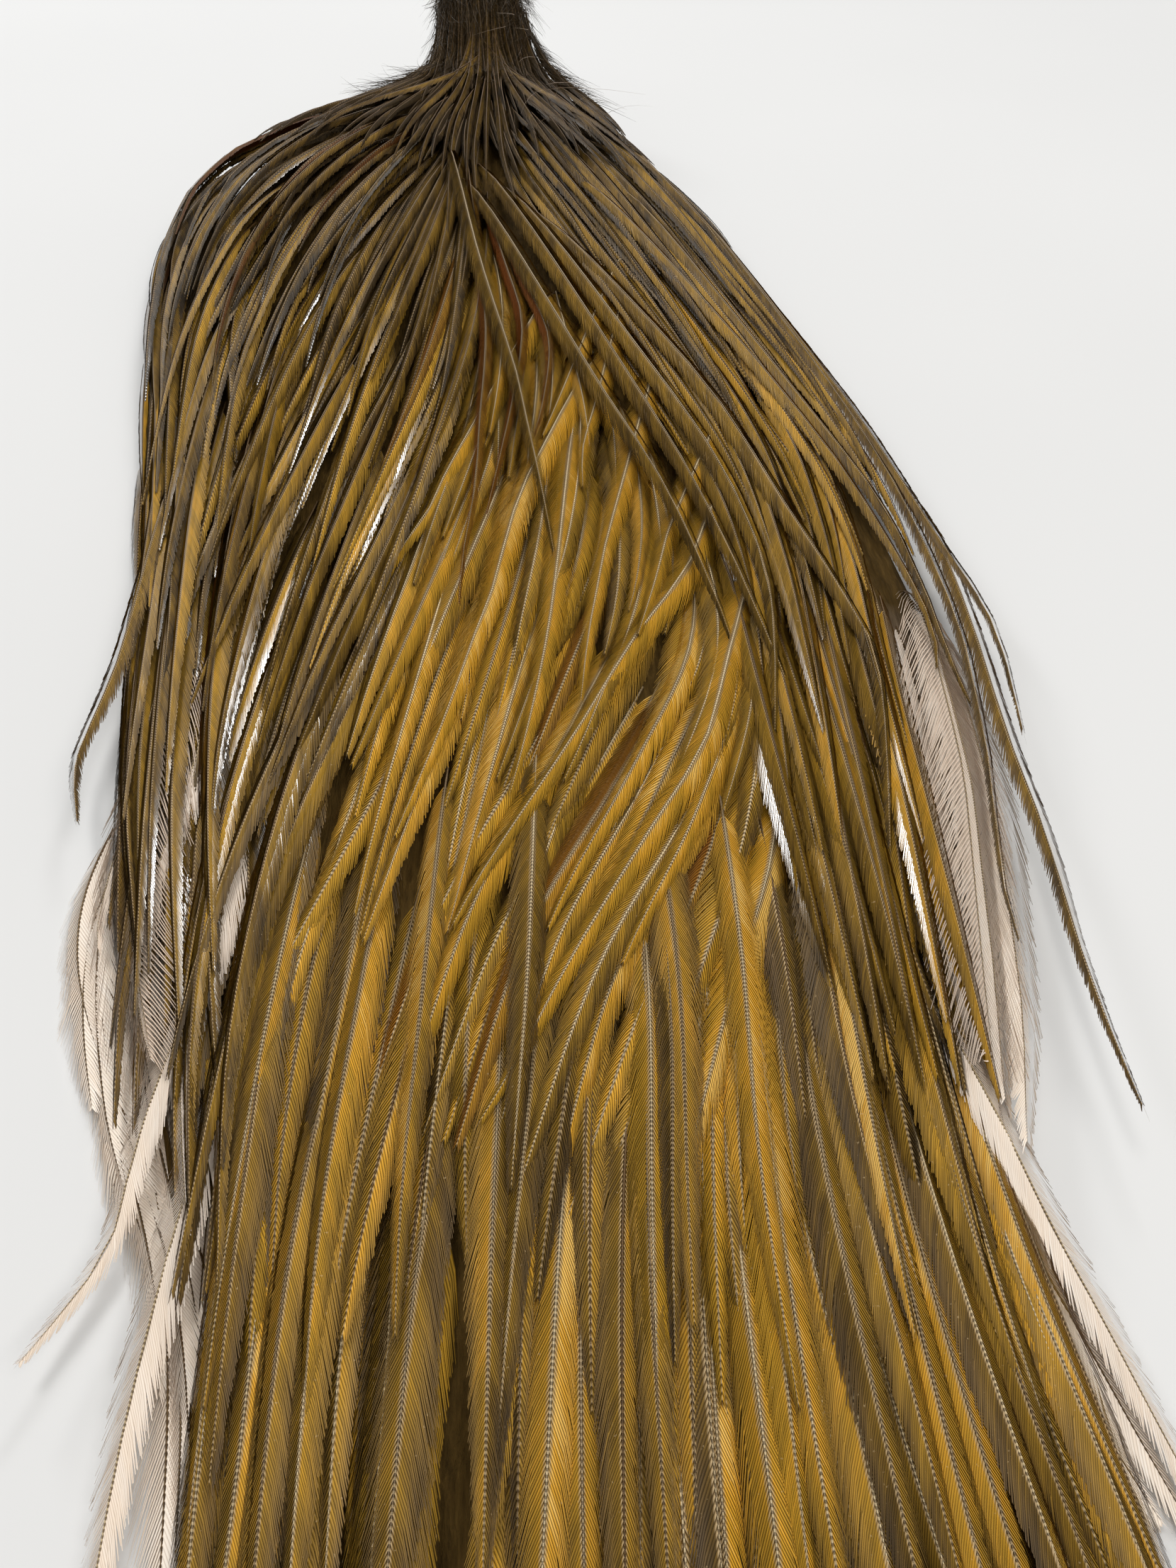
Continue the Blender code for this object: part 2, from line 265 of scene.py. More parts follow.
@dataclass
class Weaver:
    """Makes the mesh of a feather: its quill, and each barb as a narrow blade."""

    relief: Relief
    rng: np.random.Generator
    last_barb: float = 0.985
    fewest_barbs: int = 8
    blade_tilt: float = 0.07
    clump: int = 7
    stray_clump: int = 5
    stray_run: float = 2.2
    stray_alone: float = 0.35
    right_red: float = 0.45
    quill_rings: int = 15
    quill_rise: float = 0.06
    quill_tip: float = 0.004
    quill_corners: tuple = ((-1.0, -0.35), (0.0, 0.75), (1.0, -0.35))

    def patches(self, feather: Feather) -> list[Patch]:
        """Both vanes and the quill of one feather."""
        course = self.course(feather)
        return [*(self.vane(feather, course, side) for side in Side), self.rachis(feather, course)]

    def course(self, feather: Feather) -> Course:
        """Directions along a feather's centreline.

        Args:
            feather: The feather.

        Returns:
            Its course, rolled about the centreline.
        """
        path = feather.path
        ahead = np.gradient(path, axis=0)
        ahead /= np.linalg.norm(ahead, axis=1, keepdims=True)
        up = self.relief.normal(path[:, 0], path[:, 1])
        side = np.cross(up, ahead)
        side /= np.linalg.norm(side, axis=1, keepdims=True)
        up = np.cross(ahead, side)
        turn = math.radians(feather.roll)
        rolled = side * math.cos(turn) + up * math.sin(turn)
        up = up * math.cos(turn) - side * math.sin(turn)
        steps = np.linalg.norm(np.diff(path, axis=0), axis=1)
        run = np.concatenate([[0.0], np.cumsum(steps)])
        return Course(path, rolled, up, run / run[-1], float(steps.sum()))

    @staticmethod
    def outline(t: np.ndarray, taper: float) -> np.ndarray:
        """Width of a hackle along its length, as a share of its widest.

        Args:
            t: Shares of the length, from root to tip.
            taper: Share at which the long point begins.

        Returns:
            Shares of the width.
        """
        rise = np.clip(t / 0.3, 0.0, 1.0)
        fall = np.clip((1.0 - t) / (1.0 - taper), 0.0, 1.0)
        return (0.3 + 0.7 * np.sin(0.5 * np.pi * rise)) * (0.04 + 0.96 * (0.6 * fall + 0.4 * fall ** 0.5))

    def drift(self, count: int, window: int) -> np.ndarray:
        """Random numbers that change slowly from one barb to the next."""
        return np.convolve(self.rng.standard_normal(count + window - 1), np.ones(window) / window, "valid")

    def sweep(self, feather: Feather, start: np.ndarray, reach: np.ndarray, u: np.ndarray) -> np.ndarray:
        """How far the edges of each barb run on toward the tip.

        Args:
            feather: The feather.
            start: Shares of the quill at which the barbs grow.
            reach: How far each barb reaches out.
            u: Shares of a barb's length.

        Returns:
            Millimetres by barb, share and edge.
        """
        slant = feather.slant * (1.0 + 0.3 * np.clip((start - 0.55) / 0.45, 0.0, 1.0))
        stray = self.stray_run * self.drift(len(start), self.stray_clump)
        stray = feather.loose * (stray + self.stray_alone * self.rng.standard_normal(len(start)))
        forward = reach[:, None] * slant[:, None] * (0.65 * u + 0.35 * u ** 2) + stray[:, None] * u ** 2
        wide = feather.gap * (feather.blade - (feather.blade - 0.5 * feather.fringe) * u ** 2.2)
        return forward[:, :, None] + wide[None, :, None] * EDGES

    def vane(self, feather: Feather, course: Course, side: Side) -> Patch:
        """The barbs on one side of the quill.

        Args:
            feather: The feather.
            course: Its course.
            side: Which vane.

        Returns:
            The vane's mesh arrays.
        """
        count = max(int(course.length * (1.0 - feather.bare) / feather.gap), self.fewest_barbs)
        start = np.linspace(feather.bare, self.last_barb, count)
        reach = feather.half_width * self.outline(start, feather.taper)
        reach = reach * (1.0 + feather.uneven * self.rng.standard_normal(count))
        u = np.linspace(0.0, 1.0, feather.segments + 1)
        along = start[:, None, None] + self.sweep(feather, start, reach, u) / course.length
        shape = along.shape
        out = (reach[:, None] / feather.curl) * np.sin(feather.curl * u) * side.value
        drop = (reach[:, None] / feather.curl) * (1.0 - np.cos(feather.curl * u))
        tilt = self.blade_tilt * EDGES[None, None, :] * (1.0 - 0.4 * u[None, :, None])
        level = np.broadcast_to(tilt - drop[:, :, None], shape)
        points = course.read(course.path, along)
        points = points + course.read(course.side, along) * out[:, :, None, None]
        points = points + course.read(course.up, along) * level[..., None]
        points[..., 2] = np.maximum(points[..., 2], LOWEST)
        tint = 0.5 + 0.55 * self.drift(count, self.clump) + 0.16 * self.rng.standard_normal(count)
        across = side.value * u[None, :, None]
        place = layers(shape, along, across, 0.5 + 0.5 * EDGES, feather.shine)
        dye = layers(shape, feather.tone + side.value * feather.split,
                     feather.red * (1.0 if side is Side.LEFT else self.right_red), feather.grey,
                     np.clip(tint, 0.0, 1.0)[:, None, None])
        row = (np.arange(count)[:, None, None] + 0.5 + 0.42 * EDGES[None, None, :]) / count
        cell = layers(shape, 0.5 + side.value * (0.04 + 0.44 * u[None, :, None]), row)
        outer = Dress.GLOSSY if feather.shine > WET and side is feather.glossy else Dress.BARBS
        finish = np.tile([Dress.BARBS] * (feather.segments - 1) + [outer], count)
        return Patch(points.reshape(-1, 3), self.blade_quads(count, feather.segments, side), place, dye,
                     cell, finish)

    @staticmethod
    def blade_quads(count: int, segments: int, side: Side) -> np.ndarray:
        """Faces of the blades, each a run of quads with its upper side up.

        Args:
            count: Number of blades.
            segments: Quads in each.
            side: Which vane.

        Returns:
            Vertex numbers, four a face.
        """
        lead = (np.arange(count) * 2 * (segments + 1))[:, None] + 2 * np.arange(segments)[None, :]
        lead = lead.reshape(-1)
        order = (0, 2, 3, 1) if side is Side.RIGHT else (1, 3, 2, 0)
        return np.stack([lead + corner for corner in order], axis=-1)

    def rachis(self, feather: Feather, course: Course) -> Patch:
        """The quill: a thin three-sided rod that tapers to the tip.

        Args:
            feather: The feather.
            course: Its course.

        Returns:
            The quill's mesh arrays.
        """
        t = np.linspace(max(feather.bare - 0.04, 0.0), 1.0, self.quill_rings)
        radius = feather.quill_radius * (1.0 - t) ** 0.6 + self.quill_tip
        corners = np.array(self.quill_corners)
        side, rise = course.read(course.side, t), course.read(course.up, t)
        middle = course.read(course.path, t) + self.quill_rise * rise
        points = (middle[:, None, :] + side[:, None, :] * (radius[:, None] * corners[:, 0])[..., None]
                  + rise[:, None, :] * (radius[:, None] * corners[:, 1])[..., None])
        points[..., 2] = np.maximum(points[..., 2], LOWEST)
        shape = points.shape[:2]
        place = layers(shape, t[:, None], 0.0, (t * course.length / feather.gap)[:, None], 0.0)
        dye = layers(shape, feather.tone, feather.red, feather.quill, 0.0)
        cell = layers(shape, np.array([0.47, 0.5, 0.53]), t[:, None])
        quads = np.array([(ring + b, ring + a, ring + 3 + a, ring + 3 + b)
                          for ring in range(0, 3 * (self.quill_rings - 1), 3)
                          for a, b in ((0, 1), (1, 2), (2, 0))])
        return Patch(points.reshape(-1, 3), quads, place, dye, cell, np.full(len(quads), Dress.QUILL))


@dataclass
class Bundle:
    """Joins the patches of many feathers or hairs into one piece."""

    name: str
    feathers: list[list[Patch]] = field(default_factory=list)
    chart_margin: float = 0.02

    def build(self, finishes: Sequence[bpy.types.Material]) -> bpy.types.Object:
        """Make the mesh object, with each feather in a cell of its own on the bake map.

        Args:
            finishes: Its materials, in the order of the patches' finish numbers.

        Returns:
            The object, linked to the scene.
        """
        columns = math.ceil(math.sqrt(len(self.feathers) * 1.6))
        rows = math.ceil(len(self.feathers) / columns)
        every, quads, chart = [], [], []
        first = 0
        for number, patches in enumerate(self.feathers):
            corner = np.array([number % columns, number // columns])
            for patch in patches:
                every.append(patch)
                quads.append(patch.quads + first)
                spot = self.chart_margin + (1.0 - 2 * self.chart_margin) * np.clip(patch.cell, 0.0, 1.0)
                chart.append((corner + spot) / np.array([columns, rows]))
                first += len(patch.points)
        return make_object(self.name, np.vstack([patch.points for patch in every]), np.vstack(quads),
                           finishes, np.vstack(chart), np.concatenate([patch.finish for patch in every]),
                           {"place": np.vstack([patch.place for patch in every]),
                            "dye": np.vstack([patch.dye for patch in every])})


def make_object(name: str, points: np.ndarray, quads: np.ndarray,
                finishes: Sequence[bpy.types.Material], chart: np.ndarray,
                finish: np.ndarray | None = None,
                facts: dict[str, np.ndarray] | None = None) -> bpy.types.Object:
    """Make a mesh object from arrays.

    Args:
        name: The piece's name.
        points: Vertices in millimetres.
        quads: Vertex numbers, four a face.
        finishes: The materials.
        chart: Place of each vertex on the bake map.
        finish: Material number of each face, if there are several.
        facts: Vertex attributes by name, of four numbers each.

    Returns:
        The object, linked to the scene.
    """
    mesh = bpy.data.meshes.new(name)
    mesh.vertices.add(len(points))
    mesh.vertices.foreach_set("co", (points * MM).astype(np.float32).ravel())
    mesh.loops.add(4 * len(quads))
    mesh.loops.foreach_set("vertex_index", quads.astype(np.int32).ravel())
    mesh.polygons.add(len(quads))
    mesh.polygons.foreach_set("loop_start", np.arange(len(quads), dtype=np.int32) * 4)
    if finish is not None:
        mesh.polygons.foreach_set("material_index", finish.astype(np.int32))
    mesh.update(calc_edges=True)
    mesh.shade_smooth()
    for key, values in (facts or {}).items():
        attribute = mesh.attributes.new(key, "FLOAT_COLOR", "POINT")
        attribute.data.foreach_set("color", values.astype(np.float32).ravel())
    layer = mesh.uv_layers.new(name=BAKE_MAP)
    layer.data.foreach_set("uv", chart[quads.ravel()].astype(np.float32).ravel())
    for material in finishes:
        mesh.materials.append(material)
    piece = bpy.data.objects.new(name, mesh)
    bpy.context.scene.collection.objects.link(piece)
    return piece


def sheet_chart(points: np.ndarray) -> np.ndarray:
    """Bake map of a sheet: its top and its underside side by side, seen from above.

    Args:
        points: Its vertices, those of the top first and as many of the underside after them.

    Returns:
        Place of each vertex on the map.
    """
    span = points[:, :2] - points[:, :2].min(axis=0)
    span = span / span.max(axis=0)
    chart = np.column_stack([0.02 + 0.46 * span[:, 0], 0.02 + 0.96 * span[:, 1]])
    chart[len(points) // 2:, 0] += 0.5
    return chart


class Recipe:
    """A node material under construction."""

    def __init__(self, name: str) -> None:
        """Start a Principled material.

        Args:
            name: The material's name.
        """
        self.material = bpy.data.materials.new(name)
        self.material.use_nodes = True
        self.tree = self.material.node_tree
        self.shader = self.tree.nodes["Principled BSDF"]

    def node(self, kind: str, settings: dict | None = None, **inputs: object) -> bpy.types.Node:
        """Add a node.

        Args:
            kind: Its type, without the ShaderNode prefix.
            settings: Values of its properties.
            inputs: Values or sockets for its inputs, by name with _ for spaces, or n and a number.

        Returns:
            The node.
        """
        made = self.tree.nodes.new("ShaderNode" + kind)
        for key, value in (settings or {}).items():
            setattr(made, key, value)
        for key, value in inputs.items():
            numbered = key[0] == "n" and key[1:].isdigit()
            self.feed(made.inputs[int(key[1:]) if numbered else key.replace("_", " ")], value)
        return made

    def feed(self, socket: bpy.types.NodeSocket, value: object) -> None:
        """Link a socket to an output, or give it a plain value.

        Args:
            socket: The socket.
            value: An output, a number, or a colour of three or four numbers.
        """
        if isinstance(value, bpy.types.NodeSocket):
            self.tree.links.new(value, socket)
        elif socket.type == "RGBA" and len(value) == 3:
            socket.default_value = (*value, 1.0)
        else:
            socket.default_value = value

    def maths(self, operation: str, a: object, b: object = 0.0, clamp: bool = False) -> bpy.types.NodeSocket:
        """Result of a sum of one or two values."""
        made = self.node("Math", {"operation": operation, "use_clamp": clamp}, n0=a, n1=b)
        return made.outputs[0]

    def scaled(self, value: object, low: float, high: float, to_low: float,
               to_high: float) -> bpy.types.NodeSocket:
        """A value mapped from one range to another, held within it."""
        made = self.node("MapRange", {"clamp": True}, n0=value, n1=low, n2=high, n3=to_low, n4=to_high)
        return made.outputs[0]

    def mix(self, share: object, a: object, b: object, blend: str = "MIX") -> bpy.types.NodeSocket:
        """A blend of two colours."""
        settings = {"data_type": "RGBA", "blend_type": blend, "clamp_factor": True}
        return self.node("Mix", settings, n0=share, n6=a, n7=b).outputs[2]

    def grey(self, value: object) -> bpy.types.NodeSocket:
        """A colour with the same value in its three channels."""
        return self.node("CombineXYZ", n0=value, n1=value, n2=value).outputs[0]

    def ramp(self, value: bpy.types.NodeSocket, stops: Sequence[tuple]) -> bpy.types.NodeSocket:
        """A colour read from a row of stops.

        Args:
            value: The value to read it at.
            stops: Positions and their colours.

        Returns:
            The colour.
        """
        made = self.node("ValToRGB", n0=value)
        elements = made.color_ramp.elements
        while len(elements) < len(stops):
            elements.new(0.5)
        for element, (position, colour) in zip(elements, stops):
            element.position = position
            element.color = (*colour, 1.0)
        return made.outputs[0]

    def spot(self) -> bpy.types.NodeSocket:
        """The place in the part's own frame, in metres."""
        return self.node("TexCoord").outputs["Object"]

    def drawn(self, share: float) -> bpy.types.NodeSocket:
        """The place, squeezed along the cape so that a pattern is drawn out along it."""
        return self.node("Mapping", n0=self.spot(), Scale=(1.0, share, 1.0)).outputs[0]

    def noise(self, scale: float, detail: float = 2.0, vector: object = None,
              roughness: float = 0.5) -> bpy.types.NodeSocket:
        """Smooth noise from 0 to 1.

        Args:
            scale: Patches a metre.
            detail: Finer layers in it.
            vector: The place that it is read at, if not the plain one.
            roughness: Strength of the finer layers.

        Returns:
            The noise.
        """
        made = self.node("TexNoise", Scale=scale, Detail=detail, Roughness=roughness)
        self.feed(made.inputs["Vector"], self.spot() if vector is None else vector)
        return made.outputs[0]

    def facts(self, name: str) -> tuple[bpy.types.NodeSocket, ...]:
        """The four numbers of a vertex attribute.

        Args:
            name: The attribute's name.

        Returns:
            One output a number.
        """
        read = self.node("Attribute", {"attribute_name": name, "attribute_type": "GEOMETRY"})
        parts = self.node("SeparateXYZ", n0=read.outputs["Vector"])
        return (*parts.outputs, read.outputs["Alpha"])

    def bump(self, height: object, strength: float, distance: float) -> None:
        """Give the shader a bump in metres."""
        made = self.node("Bump", Strength=strength, Distance=distance, Height=height)
        self.feed(self.shader.inputs["Normal"], made.outputs[0])

    def finished(self, colour: object, roughness: object, specular: float) -> bpy.types.Material:
        """Give the shader its colour and gloss.

        Args:
            colour: Its colour.
            roughness: Its roughness.
            specular: Its specular level.

        Returns:
            The finished material.
        """
        self.feed(self.shader.inputs["Base Color"], colour)
        self.feed(self.shader.inputs["Roughness"], roughness)
        self.shader.inputs["Specular IOR Level"].default_value = specular
        return self.material


@dataclass(frozen=True)
class VaneFinish:
    """Dyed barbs: olive to gold, greyer at the outer edge, with painted shading along each barb, painted
    shade in the groove by the quill, and painted glints beside it and across the vane.
    """

    name: str = "dyed_barbs"
    stops: tuple = (
        (0.0, (0.036, 0.021, 0.006)),
        (0.20, (0.125, 0.070, 0.012)),
        (0.46, (0.310, 0.176, 0.022)),
        (0.66, (0.490, 0.268, 0.026)),
        (0.85, (0.680, 0.350, 0.032)),
        (1.0, (0.820, 0.510, 0.120)),
    )
    russet: tuple = (0.215, 0.058, 0.004)
    taupe: tuple = (0.285, 0.205, 0.130)
    bead_glint: tuple = (0.640, 0.470, 0.260)
    groove_shade: tuple = (0.090, 0.046, 0.012)
    roughness: float = 0.46
    specular: float = 0.10
    cloud_scale: float = 420.0
    glint_speck_scale: float = 2600.0

    def dyed(self, r: Recipe, out: object, along: object, cloud: object) -> bpy.types.NodeSocket:
        """The dye before the painted shading along each barb.

        Args:
            r: The recipe.
            out: How far out on the vane a point lies.
            along: How far along the feather it lies.
            cloud: Slow unevenness of the dye.

        Returns:
            Its colour.
        """
        tone, red, grey, shade = r.facts("dye")
        level = r.maths("ADD", tone, r.scaled(cloud, 0.25, 0.75, -0.10, 0.10))
        level = r.maths("ADD", level, r.scaled(shade, 0.0, 1.0, -0.13, 0.13))
        level = r.maths("SUBTRACT", level, r.scaled(along, 0.15, 0.5, 0.12, 0.0))
        level = r.maths("ADD", level, r.scaled(along, 0.45, 1.0, 0.07, -0.13))
        level = r.maths("ADD", level, r.scaled(out, 0.0, 1.0, 0.08, -0.12))
        base = r.mix(red, r.ramp(level, self.stops), self.russet)
        veil = r.maths("MULTIPLY", grey, r.scaled(out, 0.25, 1.0, 0.15, 0.9))
        return r.mix(veil, base, self.taupe)

    def material(self) -> bpy.types.Material:
        """The finish as a node material.

        Returns:
            The material.
        """
        r = Recipe(self.name)
        along, across, ridge, shine = r.facts("place")
        out = r.maths("ABSOLUTE", across)
        cloud = r.noise(self.cloud_scale, 3.0, r.drawn(0.18))
        base = self.dyed(r, out, along, cloud)
        # Painted shading of each barb: lighter along its middle and darker at its edges, a painted shade
        # between the barbs
        lines = r.maths("COSINE", r.maths("MULTIPLY", ridge, 2.0 * math.pi))
        base = r.mix(1.0, base, r.grey(r.scaled(lines, -1.0, 0.9, 1.16, 0.42)), "MULTIPLY")
        near = r.scaled(out, 0.09, 0.16, 1.0, 0.0)
        # Painted shade: a dark line in the groove beside the quill
        base = r.mix(r.maths("MULTIPLY", near, 0.7), base, self.groove_shade)
        # Painted glints at the barbs' bases: pale-gold dots in two rows beside the quill, painted highlights
        base = r.mix(r.maths("MULTIPLY", near, r.scaled(ridge, 0.45, 0.7, 0.0, 0.6)), base, self.bead_glint)
        # Painted glints: tiny pale-gold specks scattered over the vane, painted highlights
        base = r.mix(r.scaled(r.noise(self.glint_speck_scale), 0.70, 0.76, 0.0, 0.4), base, self.bead_glint)
        rough = r.scaled(cloud, 0.3, 0.7, self.roughness - 0.05, self.roughness + 0.12)
        rough = r.maths("SUBTRACT", rough, r.maths("MULTIPLY", shine, 0.08))
        return r.finished(base, rough, self.specular)


@dataclass(frozen=True)
class PaleFinish:
    """Undyed down and wisps: pale beige, with a brown line at the edges of each barb."""

    name: str = "pale_down"
    root: tuple = (0.900, 0.780, 0.650)
    tip: tuple = (0.980, 0.940, 0.880)
    dark: tuple = (0.400, 0.265, 0.165)
    cloud_scale: float = 300.0
    specular: float = 0.4

    def material(self) -> bpy.types.Material:
        """The finish as a node material.

        Returns:
            The material.
        """
        r = Recipe(self.name)
        _, across, ridge, _ = r.facts("place")
        tone, _, _, shade = r.facts("dye")
        out = r.maths("ABSOLUTE", across)
        cloud = r.noise(self.cloud_scale, 3.0)
        level = r.maths("ADD", r.maths("MULTIPLY", out, 0.5), r.maths("MULTIPLY", cloud, 0.6), clamp=True)
        base = r.mix(level, self.root, self.tip)
        base = r.mix(r.scaled(shade, 0.2, 0.8, 0.0, 0.6), base, self.root)
        lines = r.maths("COSINE", r.maths("MULTIPLY", ridge, 2.0 * math.pi))
        base = r.mix(r.scaled(lines, -0.2, 0.9, 0.0, 0.42), base, self.dark)
        base = r.mix(tone, base, self.dark)
        return r.finished(base, r.scaled(cloud, 0.3, 0.7, 0.45, 0.65), self.specular)


@dataclass(frozen=True)
class QuillFinish:
    """The quill: pale horn or dark, with a raised, glossier bead at each barb and painted shade in the groove
    between the beads.
    """

    name: str = "quill"
    dark: tuple = (0.110, 0.058, 0.016)
    pale: tuple = (0.820, 0.660, 0.400)
    groove_shade: tuple = (0.060, 0.030, 0.009)
    roughness: float = 0.42
    specular: float = 0.35
    grain_scale: float = 1800.0

    def material(self) -> bpy.types.Material:
        """The finish as a node material.

        Returns:
            The material.
        """
        r = Recipe(self.name)
        along, _, beads, _ = r.facts("place")
        _, _, quill, _ = r.facts("dye")
        wave = r.maths("SINE", r.maths("MULTIPLY", beads, 2.0 * math.pi))
        bead_glint = r.scaled(wave, -0.35, 0.45, 0.0, 1.0)
        show = r.maths("MULTIPLY", quill, r.scaled(along, 0.08, 0.4, 0.0, 1.0))
        # Painted shade in the groove between the beads, growing toward the tip
        gap = r.maths("MULTIPLY", r.maths("SUBTRACT", 1.0, bead_glint), r.scaled(along, 0.15, 0.55, 0.0, 0.7))
        grain = r.scaled(r.noise(self.grain_scale), 0.3, 0.7, 0.85, 1.12)
        body = r.mix(gap, r.mix(show, self.dark, self.pale), self.groove_shade)
        body = r.mix(1.0, body, r.grey(grain), "MULTIPLY")
        r.bump(bead_glint, 0.5, 0.0001)
        return r.finished(body, r.scaled(bead_glint, 0.0, 1.0, self.roughness + 0.2, self.roughness),
                          self.specular)


@dataclass(frozen=True)
class DownFinish:
    """Matted dark down and feather roots under the hackles, their dark partly painted shade of the gaps
    between the hackles, pale at the butt's edges.
    """

    name: str = "matted_down"
    # Colours of the dark down: partly the down's own, partly painted shade of the gaps between the hackles
    dark_down_and_shade: tuple = (
        (0.30, (0.040, 0.023, 0.006)),
        (0.55, (0.095, 0.055, 0.014)),
        (0.75, (0.170, 0.100, 0.028)),
    )
    pale: tuple = (
        (0.30, (0.420, 0.310, 0.220)),
        (0.55, (0.680, 0.560, 0.440)),
        (0.75, (0.820, 0.720, 0.610)),
    )
    head: tuple = (0.012, 0.009, 0.007)
    strand_scale: float = 1500.0
    patch_scale: float = 60.0

    def material(self) -> bpy.types.Material:
        """The finish as a node material.

        Returns:
            The material.
        """
        r = Recipe(self.name)
        strands = r.noise(self.strand_scale, 4.0, r.drawn(0.12), 0.65)
        patches = r.noise(self.patch_scale, 3.0)
        level = r.maths("ADD", r.maths("MULTIPLY", strands, 0.7), r.maths("MULTIPLY", patches, 0.3))
        x, y, _ = r.node("SeparateXYZ", n0=r.spot()).outputs
        dark_down_and_shade = r.mix(r.scaled(y, 0.125, 0.175, 0.0, 0.72), r.ramp(level, self.dark_down_and_shade), self.head)
        out = r.scaled(r.maths("ABSOLUTE", r.maths("ADD", x, 0.002)), 0.041, 0.046, 0.0, 1.0)
        edge = r.maths("MULTIPLY", out, r.scaled(y, -0.045, -0.018, 1.0, 0.0))
        r.bump(strands, 0.9, 0.0006)
        return r.finished(r.mix(edge, dark_down_and_shade, r.ramp(strands, self.pale)), 0.9, 0.08)


@dataclass(frozen=True)
class HideFinish:
    """Dried hide: honey to brown, waxy, with feather pits and fine wrinkles."""

    name: str = "dried_hide"
    stops: tuple = (
        (0.30, (0.230, 0.105, 0.035)),
        (0.50, (0.440, 0.255, 0.105)),
        (0.68, (0.620, 0.430, 0.230)),
    )
    pit: tuple = (0.120, 0.050, 0.018)
    cloud_scale: float = 45.0
    wrinkle_scale: float = 420.0
    pit_scale: float = 240.0
    specular: float = 0.45

    def material(self) -> bpy.types.Material:
        """The finish as a node material.

        Returns:
            The material.
        """
        r = Recipe(self.name)
        cloud = r.noise(self.cloud_scale, 4.0)
        wrinkle = r.noise(self.wrinkle_scale, 5.0, roughness=0.6)
        pits = r.node("TexVoronoi", {"feature": "F1"}, Vector=r.spot(), Scale=self.pit_scale)
        pit = r.scaled(pits.outputs["Distance"], 0.0, 0.45, 0.0, 1.0)
        tone = r.maths("ADD", r.maths("MULTIPLY", cloud, 0.75), r.maths("MULTIPLY", wrinkle, 0.25))
        base = r.mix(r.scaled(pit, 0.0, 0.5, 0.55, 0.0), r.ramp(tone, self.stops), self.pit)
        relief = r.maths("ADD", r.maths("MULTIPLY", pit, 0.6), r.maths("MULTIPLY", wrinkle, 0.5))
        r.bump(relief, 0.7, 0.0005)
        return r.finished(base, r.scaled(wrinkle, 0.3, 0.7, 0.42, 0.68), self.specular)


@dataclass(frozen=True)
class FloorFinish:
    """Plain pale matte surface."""

    name: str = "pale_floor"
    shade: float = 0.64

    def material(self) -> bpy.types.Material:
        """The finish as a node material.

        Returns:
            The material.
        """
        r = Recipe(self.name)
        cloud = r.scaled(r.noise(6.0), 0.3, 0.7, self.shade - 0.01, self.shade + 0.01)
        return r.finished(r.grey(cloud), 0.8, 0.08)


